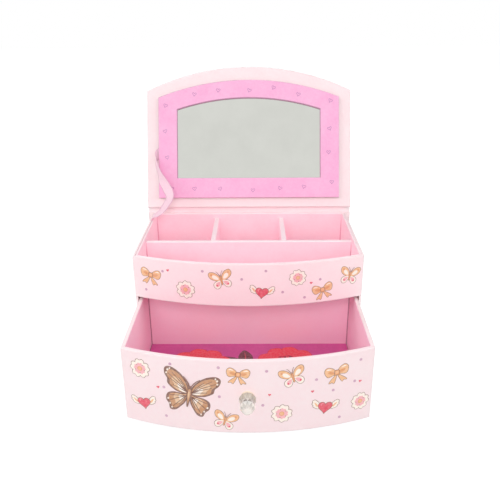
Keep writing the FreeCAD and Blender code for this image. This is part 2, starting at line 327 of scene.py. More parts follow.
def paintedEdgeShare(tree, rounded):
    # 1 on the rounded board edges, where the painted highlight and painted shade go
    here = addNode(tree, "ShaderNodeNewGeometry").outputs["Normal"]
    turned = addNode(tree, "ShaderNodeVectorMath", (rounded, here), operation="DOT_PRODUCT")
    return addNode(tree, "ShaderNodeMapRange", {"Value": turned, "From Min": paintedEdge["flat"],
                                                "From Max": paintedEdge["round"]})


def sideUnderShadeShare(tree, rounded):
    # 1 on the edges at the sides or below, where the painted shade goes
    apart = addNode(tree, "ShaderNodeSeparateXYZ", (rounded,)).outputs
    across = addNode(tree, "ShaderNodeMath", (apart["X"],), operation="ABSOLUTE")
    aside = addNode(tree, "ShaderNodeMapRange", {"Value": across, "From Min": paintedEdge["upright"],
                                                 "From Max": paintedEdge["aside"]})
    below = addNode(tree, "ShaderNodeMapRange", {"Value": apart["Z"], "From Min": paintedEdge["level"],
                                                 "From Max": paintedEdge["below"]})
    return addNode(tree, "ShaderNodeMath", (aside, below), operation="MAXIMUM")


def wrapColour(tree, grain, paper):
    # the edges get a painted highlight on top and a painted grey shade at the sides and below
    face = addNode(tree, "ShaderNodeMix", {0: grain, 6: paper["deep"], 7: paper["pale"]}, data_type="RGBA")
    rounded = addNode(tree, "ShaderNodeBevel", {"Radius": wrapPaper["edgeRadius"] * mm}, samples=4)
    paintedRim = addNode(tree, "ShaderNodeMix", {0: sideUnderShadeShare(tree, rounded), 6: wrapPaper["edge"],
                                          7: wrapPaper["edgeShade"]}, data_type="RGBA")
    return addNode(tree, "ShaderNodeMix", {0: paintedEdgeShare(tree, rounded), 6: face, 7: paintedRim}, data_type="RGBA")


def liningColour(tree, grain, paper):
    face = addNode(tree, "ShaderNodeMix", {0: grain, 6: paper["deep"], 7: paper["pale"]}, data_type="RGBA")
    rounded = addNode(tree, "ShaderNodeBevel", {"Radius": liningPaper["edgeRadius"] * mm}, samples=4)
    # the rounded edges get a painted highlight
    return addNode(tree, "ShaderNodeMix", {0: paintedEdgeShare(tree, rounded), 6: face, 7: liningPaper["edge"]},
                   data_type="RGBA")


def cornerShadeShare(tree, place, half):
    # 1 on a thin line down each inside corner, where a darker line is painted as painted shade
    apart = addNode(tree, "ShaderNodeSeparateXYZ", (place,)).outputs
    side = addNode(tree, "ShaderNodeMath", (apart["X"],), operation="ABSOLUTE")
    near = addNode(tree, "ShaderNodeMapRange", {"Value": side, "From Min": half - cornerShade["soft"] * mm,
                                                "From Max": half - cornerShade["full"] * mm})
    before = addNode(tree, "ShaderNodeMath", (side, half - cornerShade["gap"] * mm), operation="LESS_THAN")
    return addNode(tree, "ShaderNodeMath", (near, before), operation="MULTIPLY")


def makeWrapPaper(name, paper):
    # art paper printed pale pink under a matt film: even colour, soft broad sheen
    material, tree, shader = newMaterial(name, {"Roughness": wrapPaper["roughness"], "Coat Weight": 0.08,
                                                "Coat Roughness": 0.3})
    place = addNode(tree, "ShaderNodeTexCoord").outputs["Object"]
    grain, bump = paperGrain(tree, place)
    feed(tree, shader, {"Base Color": wrapColour(tree, grain, paper), "Normal": bump})
    return material


def makeLiningPaper():
    # uncoated pink paper pasted on board: dull, with a soft tooth; the rounded edges and the upward faces
    # along the tops carry a painted highlight
    material, tree, shader = newMaterial("uncoatedLiningPaperPink", {"Roughness": liningPaper["roughness"]})
    spot = addNode(tree, "ShaderNodeTexCoord").outputs
    place = spot["Object"]
    grain, bump = paperGrain(tree, place, film=0.9, strength=0.18)
    height = addNode(tree, "ShaderNodeSeparateXYZ", (place,)).outputs["Z"]
    low = addNode(tree, "ShaderNodeMapRange", {"Value": height, "From Min": wallTop * mm,
                                               "From Max": (wallTop - liningPaper["cornerShadeFade"]) * mm})
    # painted shade down the inside corners, stronger deeper in the tray
    corner = cornerShadeShare(tree, place, lowest("liner_right").x * mm)
    fold = addNode(tree, "ShaderNodeMath", (corner, low), operation="MULTIPLY")
    lined = addNode(tree, "ShaderNodeMix", {0: fold, 6: liningColour(tree, grain, liningPaper),
                                            7: liningPaper["fold"]}, data_type="RGBA")
    # a painted highlight on the upward faces along the tops
    high = addNode(tree, "ShaderNodeMath", (height, (wallTop - liningPaper["topBand"]) * mm),
                   operation="GREATER_THAN")
    upward = addNode(tree, "ShaderNodeSeparateXYZ", (spot["Normal"],)).outputs["Z"]
    level = addNode(tree, "ShaderNodeMath", (upward, liningPaper["upward"]), operation="GREATER_THAN")
    top = addNode(tree, "ShaderNodeMath", (high, level), operation="MULTIPLY")
    colour = addNode(tree, "ShaderNodeMix", {0: top, 6: lined, 7: liningPaper["top"]}, data_type="RGBA")
    feed(tree, shader, {"Base Color": colour, "Normal": bump})
    return material


def makeDrawerPaper():
    # the same printed paper outside and a deeper pink lining inside, told apart by place
    material, tree, shader = newMaterial("artPaperDrawerLinedPink", {"Roughness": drawerPaper["roughness"]})
    place = addNode(tree, "ShaderNodeTexCoord").outputs["Object"]
    grain, bump = paperGrain(tree, place)
    apart = addNode(tree, "ShaderNodeSeparateXYZ", (place,)).outputs
    half, back = lowest("drawer_right_side").x, lowest("drawer_back").y
    side = addNode(tree, "ShaderNodeMath", (apart["X"],), operation="ABSOLUTE")
    within = addNode(tree, "ShaderNodeMath", (side, (half + drawerPaper["over"]) * mm), operation="LESS_THAN")
    ahead = addNode(tree, "ShaderNodeMath", (apart["Y"], (back + drawerPaper["over"]) * mm),
                    operation="LESS_THAN")
    centre = (0, (drawerFrontApex + frontRadius) * mm, 0)
    flat = addNode(tree, "ShaderNodeCombineXYZ", {"X": apart["X"], "Y": apart["Y"]})
    reach = addNode(tree, "ShaderNodeVectorMath", (flat, centre), operation="DISTANCE")
    behind = addNode(tree, "ShaderNodeMath", (reach, (frontRadius - drawerPaper["inFromFront"]) * mm),
                     operation="LESS_THAN")
    first = addNode(tree, "ShaderNodeMath", (within, ahead), operation="MULTIPLY")
    inside = addNode(tree, "ShaderNodeMath", (first, behind), operation="MULTIPLY")
    # painted shade down the drawer's inside corners
    corner = cornerShadeShare(tree, place, half * mm)
    lined = addNode(tree, "ShaderNodeMix", {0: corner, 6: liningColour(tree, grain, drawerPaper),
                                            7: drawerPaper["fold"]}, data_type="RGBA")
    colour = addNode(tree, "ShaderNodeMix", {0: inside, 6: wrapColour(tree, grain, wrapPaper), 7: lined},
                     data_type="RGBA")
    feed(tree, shader, {"Base Color": colour, "Normal": bump})
    return material


# cut is painted shade on the card's cut edges; keyline is a plum band of painted shade along the window's top
# and sides
frameCard = {"deep": "#f3acd4", "pale": "#f6bbdc", "cut": "#c085a8", "windowShade": "#bb8da7", "roughness": 0.38,
             "windowHalf": 62.3, "windowLow": 25.5, "windowHigh": 95.0, "windowRadius": 199.05,
             "sideShadeWidth": 0.5, "topShadeWidth": 0.85}


def makeFrameCard():
    # die-cut card with a satin varnish: strong pink, smooth; the cut edges are painted a darker mauve as
    # painted shade, and a thin plum band of painted shade lies on the card over and beside the window
    material, tree, shader = newMaterial("satinVarnishedCardPink", {
        "Roughness": frameCard["roughness"], "Coat Weight": 0.1, "Coat Roughness": 0.25})
    spot = addNode(tree, "ShaderNodeTexCoord").outputs
    place = spot["Object"]
    grain, bump = paperGrain(tree, place, film=2.0, strength=0.06)
    face = addNode(tree, "ShaderNodeMix", {0: grain, 6: frameCard["deep"], 7: frameCard["pale"]},
                   data_type="RGBA")
    # across and along the card, from the rear edge of the lid's inner face
    rear = (0, lidRearY * mm, lidRearZ * mm)
    flat = addNode(tree, "ShaderNodeMapping", {"Vector": place, "Location": rear,
                                               "Rotation": (-lidLean, 0, 0)}, vector_type="TEXTURE")
    apart = addNode(tree, "ShaderNodeSeparateXYZ", (flat,)).outputs
    side = addNode(tree, "ShaderNodeMath", (apart["X"],), operation="ABSOLUTE")
    sideEnd = (frameCard["windowHalf"] + frameCard["sideShadeWidth"]) * mm
    within = addNode(tree, "ShaderNodeMath", (side, sideEnd), operation="LESS_THAN")
    above = addNode(tree, "ShaderNodeMath", (apart["Z"], frameCard["windowLow"] * mm),
                    operation="GREATER_THAN")
    sheet = addNode(tree, "ShaderNodeCombineXYZ", {"X": apart["X"], "Z": apart["Z"]})
    centre = (0, 0, (frameCard["windowHigh"] - frameCard["windowRadius"]) * mm)
    reach = addNode(tree, "ShaderNodeVectorMath", (sheet, centre), operation="DISTANCE")
    topEnd = (frameCard["windowRadius"] + frameCard["topShadeWidth"]) * mm
    under = addNode(tree, "ShaderNodeMath", (reach, topEnd), operation="LESS_THAN")
    both = addNode(tree, "ShaderNodeMath", (within, above), operation="MULTIPLY")
    line = addNode(tree, "ShaderNodeMath", (both, under), operation="MULTIPLY")
    # a thin plum band of painted shade on the card along the top and sides of the window
    lined = addNode(tree, "ShaderNodeMix", {0: line, 6: face, 7: frameCard["windowShade"]}, data_type="RGBA")
    # the cut edges stand square to the face; they are painted a darker mauve as painted shade
    outward = (0, -math.cos(lidLean), math.sin(lidLean))
    facing = addNode(tree, "ShaderNodeVectorMath", (spot["Normal"], outward), operation="DOT_PRODUCT")
    square = addNode(tree, "ShaderNodeMapRange", {"Value": facing, "From Min": 0.8, "From Max": 0.5})
    colour = addNode(tree, "ShaderNodeMix", {0: square, 6: lined, 7: frameCard["cut"]}, data_type="RGBA")
    feed(tree, shader, {"Base Color": colour, "Normal": bump})
    return material


greyBoard = {"dark": "#a59c94", "light": "#c4bcb3", "speck": 1.2, "relief": 0.1, "roughness": 0.9}
mirrorSheet = {"dark": "#d1d2cc", "light": "#d6d7d1", "haze": 22, "hairs": 9, "hairStretch": 12}
liningCard = {"deep": "#d660aa", "pale": "#e26ab4", "roughness": 0.35}
# rear is a warm tint painted towards the knob's foot as a painted reflection of the collar; deep is the grey
# painted into some facets as painted dark reflections
clearAcrylic = {"rear": "#fff8ec", "front": "#fefefe", "deep": "#6e6862", "from": 3.8, "to": 8.8,
                "clear": 0.6, "ripple": 3.5, "relief": 0.2}
lacqueredBrass = {"dark": "#e9d7c3", "light": "#f7e9d9", "grit": 0.8, "smooth": 0.4, "rough": 0.6,
                  "bare": 0.1}
platedSteel = {"dark": "#cfcbc3", "light": "#ecebe7", "grit": 0.6, "smooth": 0.36, "rough": 0.56,
               "bare": 0.9}
turningMarks = 0.05  # depth of the fine lines left on turned metal


def makeGreyBoard():
    # recycled grey board: specks and short fibres
    material, tree, shader = newMaterial("recycledGreyBoard", {"Roughness": greyBoard["roughness"]})
    place = addNode(tree, "ShaderNodeTexCoord").outputs["Object"]
    speck = addNode(tree, "ShaderNodeTexNoise", {"Vector": place, "Scale": perMetre(greyBoard["speck"]),
                                                 "Detail": 6.0})
    tone = addNode(tree, "ShaderNodeMapRange", {"Value": speck, "From Min": 0.35, "From Max": 0.65})
    colour = addNode(tree, "ShaderNodeMix", {0: tone, 6: greyBoard["dark"], 7: greyBoard["light"]},
                     data_type="RGBA")
    bump = addNode(tree, "ShaderNodeBump", {"Height": speck, "Strength": 0.25,
                                            "Distance": greyBoard["relief"] * mm})
    feed(tree, shader, {"Base Color": colour, "Normal": bump})
    return material


def makeMirror():
    # silvered acrylic sheet under its thin film: grey, very smooth, with faint haze and hairlines
    material, tree, shader = newMaterial("silveredAcrylicSheet", {"Metallic": 1.0})
    place = addNode(tree, "ShaderNodeTexCoord").outputs["Object"]
    haze = addNode(tree, "ShaderNodeTexNoise", {"Vector": place, "Scale": perMetre(mirrorSheet["haze"]),
                                                "Detail": 4.0})
    tone = addNode(tree, "ShaderNodeMapRange", {"Value": haze, "From Min": 0.3, "From Max": 0.7})
    colour = addNode(tree, "ShaderNodeMix", {0: tone, 6: mirrorSheet["dark"], 7: mirrorSheet["light"]},
                     data_type="RGBA")
    stretch = (1, mirrorSheet["hairStretch"], mirrorSheet["hairStretch"])
    along = addNode(tree, "ShaderNodeMapping", {"Vector": place, "Scale": stretch})
    hairs = addNode(tree, "ShaderNodeTexNoise", {"Vector": along, "Scale": perMetre(mirrorSheet["hairs"]),
                                                 "Detail": 6.0})
    rough = addNode(tree, "ShaderNodeMapRange", {"Value": hairs, "From Min": 0.45, "From Max": 0.75,
                                                 "To Min": 0.03, "To Max": 0.07})
    feed(tree, shader, {"Base Color": colour, "Roughness": rough})
    return material


def makeLiningCard():
    # coated card printed magenta: strong even colour with a light gloss
    material, tree, shader = newMaterial("coatedCardMagenta", {"Roughness": liningCard["roughness"],
                                                               "Coat Weight": 0.15})
    place = addNode(tree, "ShaderNodeTexCoord").outputs["Object"]
    grain, bump = paperGrain(tree, place, strength=0.06)
    colour = addNode(tree, "ShaderNodeMix", {0: grain, 6: liningCard["deep"], 7: liningCard["pale"]},
                     data_type="RGBA")
    feed(tree, shader, {"Base Color": colour, "Normal": bump})
    return material


def makeAcrylic():
    # clear cast acrylic, polished facets with faint ripples and a slight cloud in the casting; a warm tint is
    # painted towards the foot as a painted reflection of the collar seen through it, and grey is painted into
    # some facets as painted dark reflections
    material, tree, shader = newMaterial("clearCastAcrylic", {"Roughness": 0.03, "IOR": 1.49,
                                                              "Transmission Weight": clearAcrylic["clear"]})
    place = addNode(tree, "ShaderNodeTexCoord").outputs["Object"]
    out = addNode(tree, "ShaderNodeSeparateXYZ", (place,)).outputs["Y"]
    # warm tint towards the foot: painted reflection of the collar seen through the crystal
    share = addNode(tree, "ShaderNodeMapRange", {"Value": out,
                                                 "From Min": (knobFoot - clearAcrylic["from"]) * mm,
                                                 "From Max": (knobFoot - clearAcrylic["to"]) * mm})
    clear = addNode(tree, "ShaderNodeMix", {0: share, 6: clearAcrylic["rear"], 7: clearAcrylic["front"]},
                    data_type="RGBA")
    # grey painted into some facets: painted dark reflections
    depth = addNode(tree, "ShaderNodeAttribute", attribute_name="depth").outputs["Fac"]
    colour = addNode(tree, "ShaderNodeMix", {0: depth, 6: clear, 7: clearAcrylic["deep"]}, data_type="RGBA")
    ripple = addNode(tree, "ShaderNodeTexNoise", {"Vector": place, "Scale": perMetre(clearAcrylic["ripple"]),
                                                  "Detail": 1.0})
    bump = addNode(tree, "ShaderNodeBump", {"Height": ripple, "Strength": 0.12,
                                            "Distance": clearAcrylic["relief"] * mm})
    feed(tree, shader, {"Base Color": colour, "Normal": bump})
    return material


def makeMetal(name, metal):
    # plated metal: fine turning lines break up the shine, and lacquer over it dulls what is not bare
    material, tree, shader = newMaterial(name, {"Metallic": metal["bare"]})
    place = addNode(tree, "ShaderNodeTexCoord").outputs["Object"]
    lines = addNode(tree, "ShaderNodeTexNoise", {"Vector": place, "Scale": perMetre(metal["grit"]),
                                                 "Detail": 4.0})
    colour = addNode(tree, "ShaderNodeMix", {0: lines, 6: metal["dark"], 7: metal["light"]}, data_type="RGBA")
    spread = addNode(tree, "ShaderNodeMapRange", {"Value": lines, "To Min": metal["smooth"],
                                                  "To Max": metal["rough"]})
    bump = addNode(tree, "ShaderNodeBump", {"Height": lines, "Strength": 0.1, "Distance": turningMarks * mm})
    feed(tree, shader, {"Base Color": colour, "Roughness": spread, "Normal": bump})
    return material


finishes = {
    "wrap": makeWrapPaper("filmedArtPaperPalePink", wrapPaper),
    # the tray front's lighter copy of the wrap paper is painted light
    "trayFrontLit": makeWrapPaper("filmedArtPaperBrightPink", trayFrontLitPaper),
    "lining": makeLiningPaper(), "drawer": makeDrawerPaper(), "card": makeFrameCard(),
    "grey": makeGreyBoard(), "mirror": makeMirror(), "magenta": makeLiningCard(), "acrylic": makeAcrylic(),
    "brass": makeMetal("champagneLacqueredBrass", lacqueredBrass),
    "steel": makeMetal("zincPlatedSteel", platedSteel),
}
nodeFinish = {
    "wrap": ("base_board", "left_wall", "right_wall", "back_board", "lid_board"),
    "trayFrontLit": ("tray_front",),
    "lining": ("liner_left", "liner_right", "liner_back", "liner_front", "long_divider", "left_divider",
               "right_divider", "tray_floor_paper", "back_wall"),
    "drawer": ("drawer_front", "drawer_left_side", "drawer_right_side", "drawer_back", "drawer_bottom"),
    "card": ("mirror_frame",), "grey": ("shelf_board", "mirror_spacer"), "mirror": ("mirror",),
    "magenta": ("drawer_lining",), "acrylic": ("knob_gem",), "brass": ("knob_collar",),
    "steel": ("knob_screw", "knob_washer"),
}
for finish, names in nodeFinish.items():
    for name in names:
        mesh = cadNodes[name].data
        mesh.materials.clear()
        mesh.materials.append(finishes[finish])
print("papers, card, mirror and knob finished")


# printed pattern: flat shapes in millimetres, x to the right and z up

inks = {"line": "#8f6353", "apricot": "#f2bb88", "deepApricot": "#e39a63", "cream": "#fff3e8",
        "blush": "#f6b3bb", "red": "#e2465f", "lightRed": "#f08a98", "mauve": "#d2a5bd", "tan": "#c99268",
        "brown": "#7d5140", "sand": "#e6c19c", "plum": "#6a2f3c", "poppy": "#ff4658", "deepPoppy": "#de3150"}
sheetPrint = {"sink": 0.01, "firstFilm": 0.03, "film": 0.012, "cell": 2.5, "nearest": 0.01, "clear": 2.2,
              "cloud": 1.8, "worn": "#fff6f2", "mostWorn": 0.16, "roughness": 0.45}


def smoothLine(knots, steps=6, closed=True):
    # curve through given points, round again to the first or on to the last
    last = len(knots) - 1
    line = []
    for i in range(len(knots) if closed else last):
        near = [i - 1, i, i + 1, i + 2]
        a, b, c, d = (Vector(knots[k % len(knots) if closed else min(max(k, 0), last)]) for k in near)
        for step in range(steps):
            s = step / steps
            line.append(0.5 * (2 * b + (c - a) * s + (2 * a - 5 * b + 4 * c - d) * s * s
                               + (3 * b - a - 3 * c + d) * s ** 3))
    return line if closed else line + [Vector(knots[last])]


def ovalLoop(x, z, wide, high, steps=20):
    turns = [2 * math.pi * i / steps for i in range(steps)]
    return [Vector((x + wide / 2 * math.cos(t), z + high / 2 * math.sin(t))) for t in turns]


def heartLoop(x, z, width, steps=32):
    # the textbook heart curve, which is 32 units wide
    unit = width / 32
    loop = []
    for i in range(steps):
        t = 2 * math.pi * i / steps
        across = 16 * math.sin(t) ** 3
        up = 13 * math.cos(t) - 5 * math.cos(2 * t) - 2 * math.cos(3 * t) - math.cos(4 * t)
        loop.append(Vector((x + across * unit, z + up * unit)))
    return loop


def area(loop):
    return sum(a.x * b.y - b.x * a.y for a, b in zip(loop, loop[1:] + loop[:1])) / 2


def grown(loop, by=0.3):
    # the same outline, wider all round, as for a drawn line behind a shape
    side = 1 if area(loop) > 0 else -1
    wider = []
    for i, point in enumerate(loop):
        run = (loop[(i + 1) % len(loop)] - loop[i - 1]).normalized()
        wider.append(point + Vector((run.y, -run.x)) * by * side)
    return wider


def placed(loop, x=0.0, z=0.0, turn=0.0, size=1.0, flip=False):
    turned = Matrix.Rotation(math.radians(turn), 2)
    return [turned @ Vector((-p.x if flip else p.x, p.y)) * size + Vector((x, z)) for p in loop]


def stroke(points, width, thinning=0.6):
    # a drawn line that thins to its end
    ahead, back = [], []
    for i, point in enumerate(points):
        run = (Vector(points[min(i + 1, len(points) - 1)]) - Vector(points[max(i - 1, 0)])).normalized()
        half = width / 2 * (1 - thinning * i / (len(points) - 1))
        ahead.append(Vector(point) + Vector((-run.y, run.x)) * half)
        back.append(Vector(point) - Vector((-run.y, run.x)) * half)
    return ahead + back[::-1]


def bothSides(layers):
    # each shape, then its mirror image
    return [(ink, placed(loop, flip=flip)) for ink, loop in layers for flip in (False, True)]


def fivefold(ink, loop, first=0, size=1.0):
    return [(ink, placed(loop, turn=first + turn, size=size)) for turn in range(0, 360, 72)]


def butterfly():
    upper = smoothLine([(0.3, 0.4), (1.2, 3.4), (3.6, 5.9), (6.3, 6.4), (7.2, 4.6), (6.2, 2.2), (3.2, 0.4)])
    lower = smoothLine([(0.3, 0.1), (2.9, -0.1), (5.0, -1.2), (5.5, -3.2), (4.2, -5.0), (2.2, -4.6),
                        (0.8, -2.2)])
    feeler = stroke([(0.2, 3.0), (0.8, 4.6), (1.5, 5.9), (2.1, 6.6)], 0.36)
    body = ovalLoop(0, 0.2, 1.1, 6.6)
    wings = [("line", grown(upper)), ("line", grown(lower)), ("apricot", upper), ("cream", lower),
             ("cream", placed(upper, 1.3, 0.9, size=0.55)), ("blush", placed(lower, 0.9, -0.7, size=0.6)),
             ("deepApricot", ovalLoop(5.4, 4.7, 1.3, 1.5, 14)), ("red", ovalLoop(3.6, -2.9, 1.2, 1.2, 14)),
             ("line", feeler)]
    return bothSides(wings) + [("line", grown(body, 0.15)), ("deepApricot", body)]


def blossom():
    petal = smoothLine([(0, 0.5), (1.8, 2.0), (2.7, 4.2), (1.7, 6.0), (0, 5.5), (-1.7, 6.0), (-2.7, 4.2),
                        (-1.8, 2.0)], 5)
    layers = fivefold("line", grown(petal, 0.32)) + fivefold("cream", petal)
    layers += fivefold("blush", petal, size=0.62)
    layers += [("deepApricot", ovalLoop(0, 0, 3.1, 3.1)), ("apricot", ovalLoop(0, 0, 2.3, 2.3))]
    return layers + fivefold("line", ovalLoop(0, 3.0, 0.6, 0.6, 8), first=36)


def bow():
    loop = smoothLine([(0.6, 0.9), (2.6, 3.3), (5.4, 4.4), (7.2, 2.9), (7.1, 0.2), (5.6, -1.9), (2.8, -1.4),
                       (0.6, -0.9)])
    fold = smoothLine([(1.0, 0.5), (3.4, 1.6), (5.3, 1.4), (5.0, 0.3), (3.2, -0.5), (1.0, -0.5)])
    tail = smoothLine([(0.2, -0.6), (1.9, -2.4), (4.4, -4.7), (5.6, -6.4), (3.7, -6.1), (2.6, -7.0),
                       (1.2, -4.2)])
    knot = smoothLine([(-1.3, -1.3), (0, -1.6), (1.3, -1.3), (1.5, 0), (1.3, 1.3), (0, 1.6), (-1.3, 1.3),
                       (-1.5, 0)], 4)
    shine = smoothLine([(3.0, 2.7), (5.0, 3.7), (6.3, 2.9), (5.1, 2.9)])
    halves = [("line", grown(tail)), ("apricot", tail), ("line", grown(loop)), ("apricot", loop),
              ("deepApricot", fold), ("cream", shine)]
    return bothSides(halves) + [("line", grown(knot)), ("deepApricot", knot),
                                ("apricot", placed(knot, 0, 0.2, size=0.6))]


def wingedHeart():
    heart = heartLoop(0, -0.4, 8.4)
    wing = smoothLine([(3.2, 0.2), (4.4, 2.6), (6.6, 4.2), (8.0, 3.7), (7.7, 2.5), (8.2, 1.6), (7.2, 0.8),
                       (7.2, -0.2), (5.4, -1.2), (3.8, -1.4)])
    feather = smoothLine([(4.2, 0.3), (5.4, 1.8), (6.9, 2.6), (6.2, 1.2), (5.0, -0.2)])
    shine = smoothLine([(-3.0, 1.2), (-2.3, 2.4), (-1.2, 2.2), (-2.2, 1.3), (-2.4, 0.1)])
    layers = bothSides([("line", grown(wing)), ("cream", wing), ("apricot", feather)])
    return layers + [("line", grown(heart)), ("red", heart), ("lightRed", shine)]


def grandButterfly():
    # large motif for the drawer front and the lid, shaded in several tones
    upper = smoothLine([(0.8, 1.6), (2.4, 7.6), (7.4, 13.6), (13.6, 16.6), (17.2, 15.4), (16.9, 11.4),
                        (14.4, 7.8), (14.2, 5.0), (9.4, 1.6), (4.0, 0.6)])
    lower = smoothLine([(0.8, 0.4), (4.6, -0.4), (9.8, -0.8), (13.2, -2.8), (13.6, -7.0), (11.4, -10.0),
                        (10.2, -13.4), (7.2, -13.0), (4.4, -9.6), (2.0, -5.6)])
    body = smoothLine([(0, 6.4), (1.0, 5.6), (1.1, 3.0), (1.4, 0.6), (0.9, -3.4), (0.3, -7.8), (0, -8.6),
                       (-0.3, -7.8), (-0.9, -3.4), (-1.4, 0.6), (-1.1, 3.0), (-1.0, 5.6)], 4)
    wings = [("brown", grown(upper, 0.45)), ("brown", grown(lower, 0.45)),
             ("tan", placed(upper, 0.5, 0.5, size=0.88)), ("tan", placed(lower, 0.6, -0.4, size=0.86)),
             ("sand", placed(upper, 1.1, 0.9, -2, 0.62)), ("sand", placed(lower, 1.2, -0.8, 3, 0.58)),
             ("cream", placed(upper, 1.6, 1.1, -3, 0.36)), ("cream", placed(lower, 1.7, -1.0, 4, 0.32))]
    for x, z in ((12.6, 13.4), (15.2, 12.2), (13.4, 8.8), (10.8, 4.6), (7.8, 11.0)):
        wings.append(("brown", stroke([(1.6, 2.0), (x * 0.45, z * 0.5 + 0.7), (x, z)], 0.62)))
    for x, z in ((11.8, -3.4), (11.4, -7.2), (8.8, -11.0), (5.2, -8.8)):
        wings.append(("brown", stroke([(1.6, -0.8), (x * 0.55, z * 0.45 - 0.4), (x, z)], 0.55)))
    for x, z, wide in ((15.6, 14.6, 1.3), (16.1, 12.2, 1.1), (14.4, 15.8, 1.0), (12.6, -6.2, 1.2),
                       (11.0, -9.4, 1.1), (9.4, -12.0, 1.0)):
        wings.append(("cream", ovalLoop(x, z, wide, wide, 12)))
    wings.append(("brown", stroke([(0.4, 5.8), (1.6, 8.6), (3.4, 11.0), (5.2, 12.6)], 0.7)))
    return bothSides(wings) + [("brown", grown(body, 0.2)), ("tan", placed(body, 0, 0.2, size=0.72)),
                               ("sand", placed(body, -0.2, 0.6, size=0.36))]


def grandBlossom():
    # large flower for the drawer lining, with three seeds to each petal
    petal = smoothLine([(0, 3.0), (9.0, 8.0), (14.0, 17.0), (10.0, 25.0), (2.0, 25.5), (0, 23.0),
                        (-2.0, 25.5), (-10.0, 25.0), (-14.0, 17.0), (-9.0, 8.0)])
    layers = fivefold("deepPoppy", grown(petal, 0.5)) + fivefold("poppy", petal)
    layers += fivefold("deepPoppy", petal, size=0.5)
    layers += [("plum", ovalLoop(0, 0, 13, 13, 28)), ("deepPoppy", ovalLoop(0, 0, 6, 6, 20))]
    seed = ovalLoop(0, 10.5, 1.6, 1.6, 10)
    return layers + [("plum", placed(seed, turn=turn)) for turn in range(0, 360, 24)]


def plumLeaves():
    leaf = smoothLine([(0, 0), (5.0, 3.0), (8.0, 9.0), (7.0, 16.0), (3.0, 21.0), (-1.5, 15.0), (-2.5, 7.0)])
    vein = stroke([(0.3, 1.0), (2.2, 7.0), (3.0, 13.0), (3.0, 18.5)], 0.9)
    return [(ink, placed(loop, turn=turn)) for turn in (-62, 0, 58)
            for ink, loop in (("plum", leaf), ("deepPoppy", vein))]


def printMesh(name, layers):
    # each layer is a thin closed film, cut into cells so that it can follow a bowed board
    places, faces, colours = [], [], []
    nearest, cell = sheetPrint["nearest"] * mm, sheetPrint["cell"] * mm
    for level, (ink, loop) in enumerate(layers):
        film = bmesh.new()
        film.faces.new([film.verts.new((p.x * mm, sheetPrint["sink"] * mm, p.y * mm)) for p in loop])
        bmesh.ops.triangulate(film, faces=film.faces[:])
        for axis in (0, 2):
            span = [v.co[axis] / cell for v in film.verts]
            for line in range(math.ceil(min(span)), math.floor(max(span)) + 1):
                at, along = Vector((0, 0, 0)), Vector((0, 0, 0))
                at[axis], along[axis] = line * cell, 1
                bmesh.ops.bisect_plane(film, geom=film.verts[:] + film.edges[:] + film.faces[:], plane_co=at,
                                       plane_no=along, dist=nearest)
        bmesh.ops.dissolve_degenerate(film, edges=film.edges[:], dist=nearest)
        bmesh.ops.triangulate(film, faces=film.faces[:])
        rise = sheetPrint["sink"] + sheetPrint["firstFilm"] + sheetPrint["film"] * level
        raisedBy(film, (0, -rise * mm, 0))
        film.verts.index_update()
        first = len(places)
        places += [v.co.copy() for v in film.verts]
        faces += [[first + v.index for v in face.verts] for face in film.faces]
        colours += list(hexColour(inks[ink])) * len(film.verts)
        film.free()
    mesh = bpy.data.meshes.new(name)
    mesh.from_pydata(places, [], faces)
    mesh.attributes.new("inkColour", "FLOAT_COLOR", "POINT").data.foreach_set("color", colours)
    return mesh


def makeInk():
    # offset ink under the matt film: the colour comes with each shape, a little uneven as ink lies on paper
    material, tree, shader = newMaterial("offsetPrintInk", {"Roughness": sheetPrint["roughness"],
                                                            "Coat Weight": 0.08, "Coat Roughness": 0.3})
    place = addNode(tree, "ShaderNodeTexCoord").outputs["Object"]
    ink = addNode(tree, "ShaderNodeAttribute", attribute_name="inkColour").outputs["Color"]
    cloud = addNode(tree, "ShaderNodeTexNoise", {"Vector": place, "Scale": perMetre(sheetPrint["cloud"]),
                                                 "Detail": 3.0})
    share = addNode(tree, "ShaderNodeMapRange", {"Value": cloud, "From Min": 0.3, "From Max": 0.7,
                                                 "To Min": 0.0, "To Max": sheetPrint["mostWorn"]})
    colour = addNode(tree, "ShaderNodeMix", {0: share, 6: ink, 7: sheetPrint["worn"]}, data_type="RGBA")
    feed(tree, shader, {"Base Color": colour})
    return material


motifs = {"dot": [("mauve", ovalLoop(0, 0, 2.1, 2.1, 16))], "blossom": blossom(), "bow": bow(),
          "butterfly": butterfly(), "heart": wingedHeart(), "tinyHeart": [("red", heartLoop(0, 0, 2.2, 24))],
          "grand": grandButterfly(), "flower": grandBlossom(), "leaves": plumLeaves()}
motifOrder = {name: number for number, name in enumerate(motifs)}
motifReach = {name: max(p.length for _, loop in layers for p in loop) for name, layers in motifs.items()}
motifSheet = bpy.data.collections.new("motifSheet")
for name, layers in motifs.items():
    # the collection is read in the order of its names
    shape = bpy.data.objects.new("%02d_%s" % (motifOrder[name], name), printMesh(name, layers))
    motifSheet.objects.link(shape)
print("motifs drawn:", ", ".join(motifs))


def newTree(name, given):
    # named inputs, and the geometry that goes in and comes out
    tree = bpy.data.node_groups.new(name, "GeometryNodeTree")
    tree.interface.new_socket("Geometry", in_out="OUTPUT", socket_type="NodeSocketGeometry")
    for label, kind in {"Geometry": "Geometry", **given}.items():
        tree.interface.new_socket(label, in_out="INPUT", socket_type="NodeSocket" + kind)
    return tree, addNode(tree, "NodeGroupInput").outputs


def setInputs(piece, tree, values):
    # a modifier's inputs go by identifier
    modifier = piece.modifiers.new(tree.name, "NODES")
    modifier.node_group = tree
    for item in tree.interface.items_tree:
        if item.in_out == "INPUT" and item.name in values:
            modifier[item.identifier] = values[item.name]
    return piece


